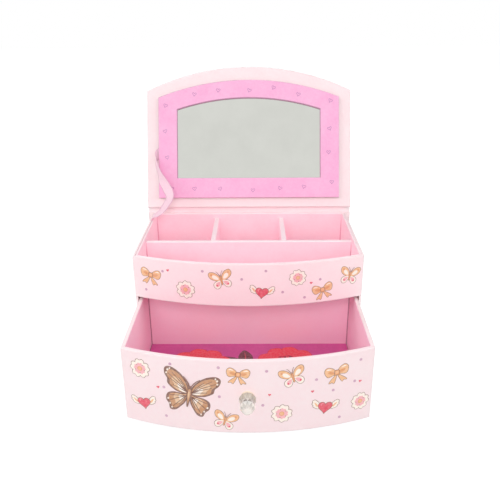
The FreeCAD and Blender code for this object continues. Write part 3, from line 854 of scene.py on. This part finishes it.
def makePrintTree():
    # motifs at chosen points and dots in the room between them, laid on a flat or bowed board
    tree, given = newTree("printOnBoard", {
        "Motifs": "Collection", "Width": "Float", "Height": "Float", "Middle": "Float",
        "Dot Spacing": "Float", "Dot Density": "Float", "Clear": "Float", "Seed": "Int",
        "Bow Radius": "Float", "Place": "Vector", "Turn": "Vector", "Ink": "Material"})
    chosen = addNode(tree, "GeometryNodeMeshToPoints", {"Mesh": given["Geometry"]})
    sheet = addNode(tree, "GeometryNodeMeshGrid", {"Size X": given["Width"], "Size Y": given["Height"],
                                                   "Vertices X": 2, "Vertices Y": 2})
    middle = addNode(tree, "ShaderNodeCombineXYZ", {"Z": given["Middle"]})
    upright = addNode(tree, "GeometryNodeTransform", {"Geometry": sheet, "Translation": middle,
                                                      "Rotation": (math.pi / 2, 0, 0)})
    dots = addNode(tree, "GeometryNodeDistributePointsOnFaces",
                   {"Mesh": upright, "Distance Min": given["Dot Spacing"],
                    "Density Max": given["Dot Density"], "Seed": given["Seed"]}, distribute_method="POISSON")
    # dots within the reach of a motif are taken out
    near = addNode(tree, "GeometryNodeProximity", (chosen,), target_element="POINTS").outputs["Distance"]
    nearest = addNode(tree, "GeometryNodeSampleNearest", {"Geometry": chosen}, domain="POINT")
    reach = addNode(tree, "GeometryNodeInputNamedAttribute", {"Name": "reach"}, data_type="FLOAT")
    reachThere = addNode(tree, "GeometryNodeSampleIndex", {"Geometry": chosen, "Value": reach,
                                                           "Index": nearest}, data_type="FLOAT")
    room = addNode(tree, "ShaderNodeMath", (reachThere, given["Clear"]), operation="ADD")
    crowded = addNode(tree, "FunctionNodeCompare", {"A": near, "B": room}, data_type="FLOAT",
                      operation="LESS_THAN")
    spaced = addNode(tree, "GeometryNodeDeleteGeometry", {"Geometry": dots, "Selection": crowded},
                     domain="POINT")
    asDot = addNode(tree, "GeometryNodeStoreNamedAttribute", {"Geometry": spaced, "Name": "motif",
                                                              "Value": motifOrder["dot"]}, data_type="INT")
    sized = addNode(tree, "GeometryNodeStoreNamedAttribute", {"Geometry": asDot, "Name": "size",
                                                              "Value": 1.0}, data_type="FLOAT")
    points = addNode(tree, "GeometryNodeJoinGeometry")
    feed(tree, points, (sized,))
    feed(tree, points, (chosen,))
    shapes = addNode(tree, "GeometryNodeCollectionInfo", {"Collection": given["Motifs"],
                                                          "Separate Children": True, "Reset Children": True})
    number = addNode(tree, "GeometryNodeInputNamedAttribute", {"Name": "motif"}, data_type="INT")
    size = addNode(tree, "GeometryNodeInputNamedAttribute", {"Name": "size"}, data_type="FLOAT")
    turn = addNode(tree, "GeometryNodeInputNamedAttribute", {"Name": "turn"}, data_type="FLOAT")
    about = addNode(tree, "ShaderNodeCombineXYZ", {"Y": turn})
    facing = addNode(tree, "FunctionNodeEulerToRotation", (about,))
    laid = addNode(tree, "GeometryNodeInstanceOnPoints",
                   {"Points": points, "Instance": shapes, "Pick Instance": True, "Instance Index": number,
                    "Rotation": facing, "Scale": size})
    real = addNode(tree, "GeometryNodeRealizeInstances", {"Geometry": laid})
    # bow: across becomes an arc, and a film's height goes outward from it
    spot = addNode(tree, "ShaderNodeSeparateXYZ", (addNode(tree, "GeometryNodeInputPosition"),)).outputs
    angle = addNode(tree, "ShaderNodeMath", (spot["X"], given["Bow Radius"]), operation="DIVIDE")
    ring = addNode(tree, "ShaderNodeMath", (given["Bow Radius"], spot["Y"]), operation="SUBTRACT")
    sine = addNode(tree, "ShaderNodeMath", (angle,), operation="SINE")
    cosine = addNode(tree, "ShaderNodeMath", (angle,), operation="COSINE")
    across = addNode(tree, "ShaderNodeMath", (ring, sine), operation="MULTIPLY")
    inward = addNode(tree, "ShaderNodeMath", (ring, cosine), operation="MULTIPLY")
    depth = addNode(tree, "ShaderNodeMath", (given["Bow Radius"], inward), operation="SUBTRACT")
    bowed = addNode(tree, "ShaderNodeCombineXYZ", (across, depth, spot["Z"]))
    isBowed = addNode(tree, "FunctionNodeCompare", {"A": given["Bow Radius"], "B": 0.0}, data_type="FLOAT",
                      operation="GREATER_THAN")
    wrapped = addNode(tree, "GeometryNodeSetPosition", {"Geometry": real, "Selection": isBowed,
                                                        "Position": bowed})
    there = addNode(tree, "GeometryNodeTransform", {"Geometry": wrapped, "Translation": given["Place"],
                                                    "Rotation": given["Turn"]})
    inked = addNode(tree, "GeometryNodeSetMaterial", {"Geometry": there, "Material": given["Ink"]})
    addNode(tree, "NodeGroupOutput", {"Geometry": inked})
    return tree


# each board gives its size, where it is, and its motifs as (motif, across, up, turn, size)

plainBoard = {"dotSpacing": 16, "dotDensity": 20000, "bow": 0, "slot": "printed_board"}
sideBoard = dict(plainBoard, body="case", width=84, height=78, middle=49)
boards = {
    "tray_front_print": dict(
        plainBoard, body="case", width=164, height=25, middle=78, dotSpacing=13, seed=4, bow=frontRadius,
        place=(0, trayFrontApex, 0), turn=(0, 0, 0), motifs=[
            ("bow", -73, 81.5, 8, 1.08), ("blossom", -46, 73, 15, 1.12), ("butterfly", -19, 82, -14, 1.15),
            ("heart", 10, 73, 6, 1.1), ("blossom", 36, 83, -10, 1.0), ("tinyHeart", 46, 78, 10, 1),
            ("bow", 55, 71.5, -12, 1.05), ("butterfly", 76, 79.5, 12, 1.1), ("tinyHeart", -59, 87, -12, 1)]),
    "drawer_front_print": dict(
        plainBoard, body="drawer", width=158, height=46, middle=31.8, dotSpacing=15, seed=11, bow=frontRadius,
        place=(0, drawerFrontApex, 0), turn=(0, 0, 0), motifs=[
            ("grand", -38, 32, 10, 1.05), ("blossom", -71, 47, 0, 1.12), ("heart", -70, 21, -8, 1.1),
            ("bow", -6, 49.5, 6, 1.0), ("butterfly", -15, 13.5, 16, 1.1), ("blossom", 22, 19, 20, 1.1),
            ("butterfly", 29, 46, -16, 1.15), ("heart", 51, 21, 8, 1.15), ("bow", 58, 46, -8, 1.1),
            ("blossom", 76, 20, 8, 1.05), ("tinyHeart", 42, 34, 0, 1), ("tinyHeart", 75, 36, 12, 1),
            ("tinyHeart", -59, 35, -10, 1), ("tinyHeart", 14, 34, 10, 0.9)]),
    "left_wall_print": dict(
        sideBoard, seed=3, place=(-wallFace, 0, 0), turn=(0, 0, -90), motifs=[
            ("blossom", -32, 80, 10, 1), ("butterfly", 4, 76, -12, 1), ("bow", 33, 60, 8, 1),
            ("heart", -26, 52, -6, 1), ("blossom", 8, 46, 0, 0.9), ("bow", -30, 22, -10, 0.95),
            ("butterfly", 4, 20, 14, 1), ("blossom", 34, 26, 20, 1), ("tinyHeart", 22, 83, 0, 1),
            ("tinyHeart", -10, 64, 10, 1), ("tinyHeart", 20, 36, -8, 1)]),
    "right_wall_print": dict(
        sideBoard, seed=7, place=(wallFace, 0, 0), turn=(0, 0, 90), motifs=[
            ("bow", -33, 78, -8, 1), ("blossom", 2, 80, 12, 1), ("butterfly", 34, 72, 14, 1),
            ("butterfly", -30, 50, -14, 1), ("heart", 6, 52, 4, 1), ("blossom", 32, 44, 0, 0.9),
            ("blossom", -32, 21, 6, 1), ("bow", 4, 24, 8, 1), ("heart", 33, 19, -8, 0.95),
            ("tinyHeart", -14, 66, 0, 1), ("tinyHeart", 20, 62, 8, 1), ("tinyHeart", -14, 34, 0, 1)]),
    "back_print": dict(
        plainBoard, body="case", width=166, height=66, middle=42, seed=5, place=(0, hingeY, 0),
        turn=(0, 0, 180), motifs=[
            ("blossom", -68, 62, 0, 1), ("bow", -38, 40, 8, 1), ("butterfly", -66, 22, 10, 1),
            ("heart", -10, 64, -6, 1), ("blossom", -8, 20, 14, 1), ("butterfly", 20, 44, -14, 1),
            ("bow", 48, 64, -8, 1), ("heart", 46, 24, 6, 1), ("blossom", 73, 44, 0, 1)]),
    "lid_top_print": dict(
        plainBoard, body="lid", width=164, height=78, middle=-58, seed=9, place=(0, hingeY, hingeZ),
        turn=(180 - math.degrees(lidLean), 0, 0), motifs=[
            ("grand", 0, -60, -8, 1.35), ("blossom", -66, -32, 0, 1), ("bow", -34, -30, 10, 1),
            ("butterfly", 36, -28, -14, 1), ("heart", 68, -36, 6, 1), ("heart", -68, -66, -6, 1),
            ("butterfly", -42, -88, 12, 1), ("blossom", 42, -58, 10, 1), ("bow", 70, -78, -8, 1),
            ("blossom", -8, -102, 8, 1), ("bow", 34, -98, 12, 0.95), ("blossom", -74, -94, 0, 0.9),
            ("tinyHeart", -40, -56, 0, 1), ("tinyHeart", 26, -82, 0, 1), ("tinyHeart", 4, -28, 0, 1)]),
    "drawer_lining_print": dict(
        plainBoard, body="drawer", slot="printed_lining", width=10, height=10, middle=-80, dotSpacing=100,
        dotDensity=0, seed=1, place=(0, 0, highest("drawer_lining").z), turn=(-90, 0, 0), motifs=[
            ("leaves", -4, -66, -8, 1.1), ("leaves", 50, -98, -80, 1), ("leaves", -52, -100, 70, 1),
            ("flower", -38, -66, 12, 0.95), ("flower", 30, -62, -10, 0.9), ("flower", -4, -104, 30, 0.9)]),
}
printTree = makePrintTree()
inkFinish = makeInk()


def printBoard(name, board):
    kinds, across, up, turns, sizes = zip(*board["motifs"])
    mesh = bpy.data.meshes.new(name)
    mesh.from_pydata([(x * mm, 0, z * mm) for x, z in zip(across, up)], [], [])
    marks = {"motif": ("INT", [motifOrder[kind] for kind in kinds]),
             "turn": ("FLOAT", [math.radians(turn) for turn in turns]),
             "size": ("FLOAT", sizes),
             "reach": ("FLOAT", [motifReach[kind] * size * mm for kind, size in zip(kinds, sizes)])}
    for label, (kind, values) in marks.items():
        mesh.attributes.new(label, kind, "POINT").data.foreach_set("value", values)
    piece = newPiece(name, mesh)
    setInputs(piece, printTree, {
        "Motifs": motifSheet, "Width": board["width"] * mm, "Height": board["height"] * mm,
        "Middle": board["middle"] * mm, "Dot Spacing": board["dotSpacing"] * mm,
        "Dot Density": board["dotDensity"], "Clear": sheetPrint["clear"] * mm, "Seed": board["seed"],
        "Bow Radius": board["bow"] * mm, "Place": [v * mm for v in board["place"]],
        "Turn": [math.radians(v) for v in board["turn"]], "Ink": inkFinish})
    settled(piece)
    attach(piece, board["body"])
    print(name, "printed,", len(piece.data.polygons), "faces")


for name, board in boards.items():
    printBoard(name, board)
for shape in list(motifSheet.objects):
    bpy.data.objects.remove(shape)
bpy.data.collections.remove(motifSheet)


# small outline hearts in foil, following the middle of the frame card's border

foilHearts = {"width": 3.9, "line": 0.5, "film": 0.05, "steps": 28, "count": 18, "drift": 3.2, "turn": 30,
              "seed": 6, "side": 70.5, "low": 16.9, "shoulder": 90.5, "high": 102.9, "archSteps": 12,
              "dark": "#c184b2", "light": "#d79ac6", "craze": 0.7}


def makeFoil():
    # hot-stamped foil: mauve, partly metallic, slightly crazed
    material, tree, shader = newMaterial("hotStampedFoilMauve", {"Metallic": 0.35, "Roughness": 0.32})
    place = addNode(tree, "ShaderNodeTexCoord").outputs["Object"]
    craze = addNode(tree, "ShaderNodeTexNoise", {"Vector": place, "Scale": perMetre(foilHearts["craze"]),
                                                 "Detail": 4.0})
    colour = addNode(tree, "ShaderNodeMix", {0: craze, 6: foilHearts["dark"], 7: foilHearts["light"]},
                     data_type="RGBA")
    feed(tree, shader, {"Base Color": colour})
    return material


def heartOutline():
    outer = heartLoop(0, 0, foilHearts["width"], foilHearts["steps"])
    inner = grown(outer, -foilHearts["line"])
    film = bmesh.new()
    rims = [[film.verts.new((p.x * mm, sheetPrint["sink"] * mm, p.y * mm)) for p in loop]
            for loop in (outer, inner)]
    for i in range(len(outer)):
        film.faces.new((rims[0][i - 1], rims[0][i], rims[1][i], rims[1][i - 1]))
    raisedBy(film, (0, -foilHearts["film"] * mm, 0))
    return asMesh("heartOutline", film)


def makeHeartTree():
    tree, given = newTree("heartsAlongFrame", {
        "Heart": "Object", "Count": "Int", "Drift": "Vector", "Tilt": "Vector", "Seed": "Int",
        "Place": "Vector", "Turn": "Vector", "Foil": "Material"})
    path = addNode(tree, "GeometryNodeMeshToCurve", {"Mesh": given["Geometry"]})
    spread = addNode(tree, "GeometryNodeCurveToPoints", {"Curve": path, "Count": given["Count"]},
                     mode="COUNT")
    loose = {}
    for label in ("Drift", "Tilt"):
        least = addNode(tree, "ShaderNodeVectorMath", {0: given[label], "Scale": -1.0}, operation="SCALE")
        loose[label] = addNode(tree, "FunctionNodeRandomValue", {
            "Min": least, "Max": given[label], "Seed": given["Seed"]}, data_type="FLOAT_VECTOR")
    moved = addNode(tree, "GeometryNodeSetPosition", {"Geometry": spread, "Offset": loose["Drift"]})
    facing = addNode(tree, "FunctionNodeEulerToRotation", (loose["Tilt"],))
    shape = addNode(tree, "GeometryNodeObjectInfo", {"Object": given["Heart"]}).outputs["Geometry"]
    stamped = addNode(tree, "GeometryNodeInstanceOnPoints", {"Points": moved, "Instance": shape,
                                                             "Rotation": facing})
    real = addNode(tree, "GeometryNodeRealizeInstances", {"Geometry": stamped})
    there = addNode(tree, "GeometryNodeTransform", {"Geometry": real, "Translation": given["Place"],
                                                    "Rotation": given["Turn"]})
    foiled = addNode(tree, "GeometryNodeSetMaterial", {"Geometry": there, "Material": given["Foil"]})
    addNode(tree, "NodeGroupOutput", {"Geometry": foiled})
    return tree


def addFoilHearts():
    side, low, shoulder, high = (foilHearts[k] for k in ("side", "low", "shoulder", "high"))
    turns = [math.pi * i / foilHearts["archSteps"] for i in range(1, foilHearts["archSteps"])]
    arch = [(side * math.cos(t), shoulder + (high - shoulder) * math.sin(t)) for t in turns]
    corners = [(-side, low), (side, low), (side, shoulder), *arch, (-side, shoulder)]
    ring = [(i, (i + 1) % len(corners)) for i in range(len(corners))]
    mesh = bpy.data.meshes.new("frame_hearts")
    mesh.from_pydata([(x * mm, 0, z * mm) for x, z in corners], ring, [])
    hearts = newPiece("frame_hearts", mesh)
    heart = bpy.data.objects.new("heartOutline", heartOutline())
    drift = foilHearts["drift"] * mm
    setInputs(hearts, makeHeartTree(), {
        "Heart": heart, "Count": foilHearts["count"], "Drift": [drift, 0, drift],
        "Tilt": [0, math.radians(foilHearts["turn"]), 0], "Seed": foilHearts["seed"],
        "Place": [v * mm for v in lidPoint(bayHalf, 0, frameLift)], "Turn": [-lidLean, 0, 0],
        "Foil": makeFoil()})
    settled(hearts)
    bpy.data.objects.remove(heart)
    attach(hearts, "lid")
    print("frame hearts stamped,", len(hearts.data.polygons), "faces")


addFoilHearts()


# paper pads that close the joint between the case walls and the tray liner, with a slot left for the ribbon

linerPads = {"low": 80.0, "underTop": 0.1, "slot": (26.5, 39.5), "steps": 48, "leftDrop": 1.6, "seam": 0.03,
             "nearest": 0.01}


def addLinerPads():
    outer, inner = bayHalf, highest("liner_right").x
    back = lowest("back_wall").y
    front = back - (outer - inner)
    end = inner - linerPads["seam"]
    centre = trayFrontApex + frontRadius
    innerRadius = centre - lowest("liner_front").y
    outerRadius = innerRadius + outer - inner
    corner = centre - math.sqrt(innerRadius ** 2 - inner ** 2)
    slotFront, slotBack = linerPads["slot"]
    outlines = [[(inner, corner), (outer, corner), (outer, back), (inner, back)],
                [(-outer, corner), (-inner, corner), (-inner, slotFront), (-outer, slotFront)],
                [(-outer, slotBack), (-inner, slotBack), (-inner, back), (-outer, back)],
                [(-end, front), (end, front), (end, back), (-end, back)]]
    # the front pad follows the bow
    steps = linerPads["steps"]
    reach = math.asin(end / innerRadius)
    turns = [reach * (2 * i / steps - 1) for i in range(steps + 1)]
    ahead, behind = ([(radius * math.sin(t), centre - radius * math.cos(t)) for t in turns]
                     for radius in (outerRadius, innerRadius))
    outlines += [[ahead[i], ahead[i + 1], behind[i + 1], behind[i]] for i in range(steps)]
    pads = bmesh.new()
    for outline in outlines:
        pads.faces.new([pads.verts.new((x * mm, y * mm, linerPads["low"] * mm)) for x, y in outline])
    bmesh.ops.remove_doubles(pads, verts=pads.verts[:], dist=linerPads["nearest"] * mm)
    tops = raisedBy(pads, (0, 0, (wallTop - linerPads["underTop"] - linerPads["low"]) * mm))
    # on the ribbon's side they sit lower, which leaves a thin dark line along the wall
    lower = [v for v in tops if v.co.x < (linerPads["nearest"] - inner) * mm]
    bmesh.ops.translate(pads, verts=lower, vec=(0, 0, -linerPads["leftDrop"] * mm))
    piece = newPiece("liner_pads", asMesh("liner_pads", pads), finishes["lining"])
    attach(piece, "case")
    print("liner pads set")


addLinerPads()


# satin ribbon that stays the lid: it goes under the frame card at the top and down beside the tray liner

stayRibbon = {
    "thickness": 0.25, "width": 10.0, "columns": 8, "rows": 8, "crown": 0.5,
    "edges": [
        (lidPoint(9.4, 54.0, 0.6), lidPoint(9.4, 44.0, 0.6)),
        (lidPoint(4.0, 52.0, 0.7), lidPoint(4.0, 42.0, 0.7)),
        (lidPoint(1.7, 47.0, 3.0), lidPoint(1.9, 37.0, 2.6)),
        (lidPoint(6.8, 32.5, 10.8), lidPoint(4.6, 26.5, 4.0)),
        (lidPoint(13.6, 22.5, 13.0), lidPoint(6.1, 20.0, 7.6)),
        (lidPoint(18.4, 14.2, 14.0), lidPoint(9.5, 13.5, 10.0)),
        (lidPoint(19.1, 6.7, 17.5), lidPoint(11.9, 7.6, 11.0)),
        (casePoint(14.8, 21.0, 11.8), casePoint(7.8, 13.9, 9.8)),
        (casePoint(10.2, 22.0, 6.6), casePoint(4.5, 13.8, 5.6)),
        (casePoint(5.0, 22.0, 3.2), casePoint(1.2, 12.6, 3.0)),
        (casePoint(0.3, 22.0, 1.6), casePoint(0.3, 12.0, 1.6)),
        (casePoint(0.2, 22.0, -2.5), casePoint(0.2, 12.0, -2.5)),
        (casePoint(0.2, 22.0, -14.0), casePoint(0.2, 12.0, -14.0))],
    "caseEnd": (-80, 34, 94.5), "lidEnd": (-76, 42, 116)}
# edge is the selvedge colour, a darker mauve painted as painted shade along the ribbon's edges
satin = {"dark": "#efc2d4", "light": "#fde0ea", "edge": "#eab9d0", "rib": 0.7, "ribHeight": 0.35,
         "thread": 1.25, "selvedge": (4.2, 4.5), "relief": 0.1}


def stripMesh(name, left, right, columns, crown):
    # a strip between two edges, with a flat map in millimetres for its weave
    across = [(a - b).length for a, b in zip(left, right)]
    middles = [(a + b) / 2 for a, b in zip(left, right)]
    along = [0.0]
    for before, after in zip(middles, middles[1:]):
        along.append(along[-1] + (after - before).length)
    last = len(left) - 1
    places, flat = [], []
    for row in range(len(left)):
        run = middles[min(row + 1, last)] - middles[max(row - 1, 0)]
        normal = run.cross(right[row] - left[row]).normalized()
        free = math.sin(math.pi * row / last) ** 2
        for column in range(columns + 1):
            share = column / columns
            lift = crown * free * math.sin(math.pi * share)
            places.append((left[row].lerp(right[row], share) + normal * lift) * mm)
            flat.append((share * across[row], along[row]))
    wide = columns + 1
    faces = [(r * wide + c, r * wide + c + 1, (r + 1) * wide + c + 1, (r + 1) * wide + c)
             for r in range(last) for c in range(columns)]
    mesh = bpy.data.meshes.new(name)
    mesh.from_pydata(places, [], faces)
    layer = mesh.uv_layers.new(name="flatMillimetres")
    for loop in mesh.loops:
        layer.data[loop.index].uv = flat[loop.vertex_index]
    mesh.polygons.foreach_set("use_smooth", [True] * len(faces))
    return mesh, along[-1]


def makeSatin():
    # polyester satin: long floats give a sheen across the ribbon, with fine ribs and a firm selvedge painted
    # darker mauve as painted shade along the edges.
    # real ribs are 0.15 mm apart, drawn at 0.7 mm so that they show
    material, tree, shader = newMaterial("polyesterSatinPink", {"Roughness": 0.42, "Sheen Weight": 0.35,
                                                                "Sheen Roughness": 0.3, "Anisotropic": 0.55})
    flat = addNode(tree, "ShaderNodeUVMap", uv_map="flatMillimetres")
    apart = addNode(tree, "ShaderNodeSeparateXYZ", (flat,)).outputs
    ribs = addNode(tree, "ShaderNodeMath", (apart["Y"], 2 * math.pi / satin["rib"]), operation="MULTIPLY")
    wave = addNode(tree, "ShaderNodeMath", (ribs,), operation="SINE")
    thread = addNode(tree, "ShaderNodeTexNoise", {"Vector": flat, "Scale": 1 / satin["thread"],
                                                  "Detail": 4.0})
    middle = addNode(tree, "ShaderNodeMath", (apart["X"], stayRibbon["width"] / 2), operation="SUBTRACT")
    out = addNode(tree, "ShaderNodeMath", (middle,), operation="ABSOLUTE")
    inner, outer = satin["selvedge"]
    selvedge = addNode(tree, "ShaderNodeMapRange", {"Value": out, "From Min": inner, "From Max": outer})
    woven = addNode(tree, "ShaderNodeMix", {0: thread, 6: satin["dark"], 7: satin["light"]}, data_type="RGBA")
    # the selvedge bands are painted darker as painted shade along the ribbon's edges
    colour = addNode(tree, "ShaderNodeMix", {0: selvedge, 6: woven, 7: satin["edge"]}, data_type="RGBA")
    height = addNode(tree, "ShaderNodeMath", (wave, satin["ribHeight"], selvedge), operation="MULTIPLY_ADD")
    bump = addNode(tree, "ShaderNodeBump", {"Height": height, "Strength": 0.18,
                                            "Distance": satin["relief"] * mm})
    feed(tree, shader, {"Base Color": colour, "Normal": bump})
    return material


def thickened(piece, thickness):
    shell = piece.modifiers.new("thickness", "SOLIDIFY")
    shell.thickness = thickness * mm
    shell.offset = 0
    shell.use_even_offset = True
    return settled(piece)


def addRibbon():
    left, right = (smoothLine(knots, stayRibbon["rows"], closed=False) for knots in zip(*stayRibbon["edges"]))
    mesh, length = stripMesh("stay_satin", left, right, stayRibbon["columns"], stayRibbon["crown"])
    ribbon = thickened(newPiece("stay_satin", mesh, makeSatin()), stayRibbon["thickness"])
    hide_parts("stay_ribbon")
    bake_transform(ribbon)
    print("ribbon laid, %.1f mm long" % length)


addRibbon()


# book cloth hinge, glued up the back board and down the lid's outer face

hingeStrip = {"thickness": 0.35, "half": 89.0, "foot": 80.5, "leg": 14.0, "gap": 0.1, "rows": 12,
              "columns": 24, "bendFrom": -2.5, "bendOut": 0.5, "bendTo": 2.0}
bookCloth = {"dark": "#ffeaee", "light": "#fff2f4", "threads": 0.9, "cloud": 5, "relief": 0.08}


def makeBookCloth():
    # paper-faced book cloth: plain weave, 0.5 mm threads drawn at 0.9 mm so that they show
    material, tree, shader = newMaterial("paperFacedBookClothPink", {"Roughness": 0.7, "Sheen Weight": 0.1})
    flat = addNode(tree, "ShaderNodeUVMap", uv_map="flatMillimetres")
    turns = (2 * math.pi / bookCloth["threads"],) * 3
    weave = addNode(tree, "ShaderNodeVectorMath", (flat, turns), operation="MULTIPLY")
    apart = addNode(tree, "ShaderNodeSeparateXYZ", (weave,)).outputs
    warp = addNode(tree, "ShaderNodeMath", (apart["X"],), operation="SINE")
    weft = addNode(tree, "ShaderNodeMath", (apart["Y"],), operation="SINE")
    cross = addNode(tree, "ShaderNodeMath", (warp, weft), operation="MULTIPLY")
    cloud = addNode(tree, "ShaderNodeTexNoise", {"Vector": flat, "Scale": 1 / bookCloth["cloud"],
                                                 "Detail": 3.0})
    colour = addNode(tree, "ShaderNodeMix", {0: cloud, 6: bookCloth["dark"], 7: bookCloth["light"]},
                     data_type="RGBA")
    bump = addNode(tree, "ShaderNodeBump", {"Height": cross, "Strength": 0.3,
                                            "Distance": bookCloth["relief"] * mm})
    feed(tree, shader, {"Base Color": colour, "Normal": bump})
    return material


def addHinge():
    # middle of the cloth: up the back, round the crease and along the lid
    off = hingeStrip["gap"] + hingeStrip["thickness"] / 2
    foot = Vector((0, hingeY + off, hingeStrip["foot"]))
    crease = Vector((0, hingeY + off, hingeZ - off * math.tan(lidLean / 2)))
    tip = Vector((0, hingeY + hingeStrip["leg"] * math.sin(lidLean) + off * math.cos(lidLean),
                  hingeZ + hingeStrip["leg"] * math.cos(lidLean) - off * math.sin(lidLean)))
    rows = hingeStrip["rows"]
    line = [foot.lerp(crease, i / rows) for i in range(rows)]
    line += [crease.lerp(tip, i / rows) for i in range(rows + 1)]
    half = hingeStrip["half"]
    left, right = ([point + Vector((side * half, 0, 0)) for point in line] for side in (-1, 1))
    mesh, length = stripMesh("hinge_strip", left, right, hingeStrip["columns"], 0.0)
    strip = thickened(newPiece("hinge_strip", mesh, makeBookCloth()), hingeStrip["thickness"])
    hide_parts("hinge_cloth")
    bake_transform(strip)
    print("hinge strip glued, %.1f mm deep" % length)


addHinge()


# knob: a cut acrylic crystal, ten-sided, each ring of corners turned half a side from the last;
# the table after the rings gives how grey the broad and the narrow facets are painted between one ring and
# the next, as painted dark reflections

knobCrystal = {"sides": 10, "bevel": 0.14,
               "rings": ((0.0, 3.6), (2.4, 5.7), (6.4, 4.3), (10.0, 5.0), (13.2, 3.5), (14.0, 2.2)),
               "facetShades": ((0.0, 0.0), (0.0, 0.25), (0.0, 0.8), (0.0, 0.45), (0.4, 0.2))}


def addCrystal():
    sides = knobCrystal["sides"]
    axis = (lowest("knob_gem").z + highest("knob_gem").z) / 2
    cut = bmesh.new()
    depth = cut.faces.layers.float.new("depth")
    rings = []
    for level, (out, radius) in enumerate(knobCrystal["rings"]):
        turns = [2 * math.pi * (i + 0.5 * (level % 2)) / sides for i in range(sides)]
        rings.append([cut.verts.new((radius * math.cos(t) * mm, (knobFoot - out) * mm,
                                     (axis + radius * math.sin(t)) * mm)) for t in turns])
    for level, facetShades in enumerate(knobCrystal["facetShades"]):
        low, high = rings[level], rings[level + 1]
        shift = level % 2
        for i in range(sides):
            j = (i + 1) % sides
            broad = cut.faces.new((low[i], low[j], high[j] if shift else high[i]))
            narrow = cut.faces.new((low[i] if shift else low[j], high[j], high[i]))
            broad[depth], narrow[depth] = facetShades
    cut.faces.new(rings[0])
    cut.faces.new(rings[-1])
    bmesh.ops.recalc_face_normals(cut, faces=cut.faces[:])
    bmesh.ops.bevel(cut, geom=cut.edges[:], offset=knobCrystal["bevel"] * mm, segments=1, affect="EDGES")
    crystal = newPiece("knob_crystal", asMesh("knob_crystal", cut), finishes["acrylic"])
    crystal.visible_shadow = False  # clear acrylic lets the light through to the collar and the board
    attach(crystal, "drawer")
    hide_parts("knob_gem")
    print("knob cut,", len(crystal.data.polygons), "facets and bevels")


addCrystal()
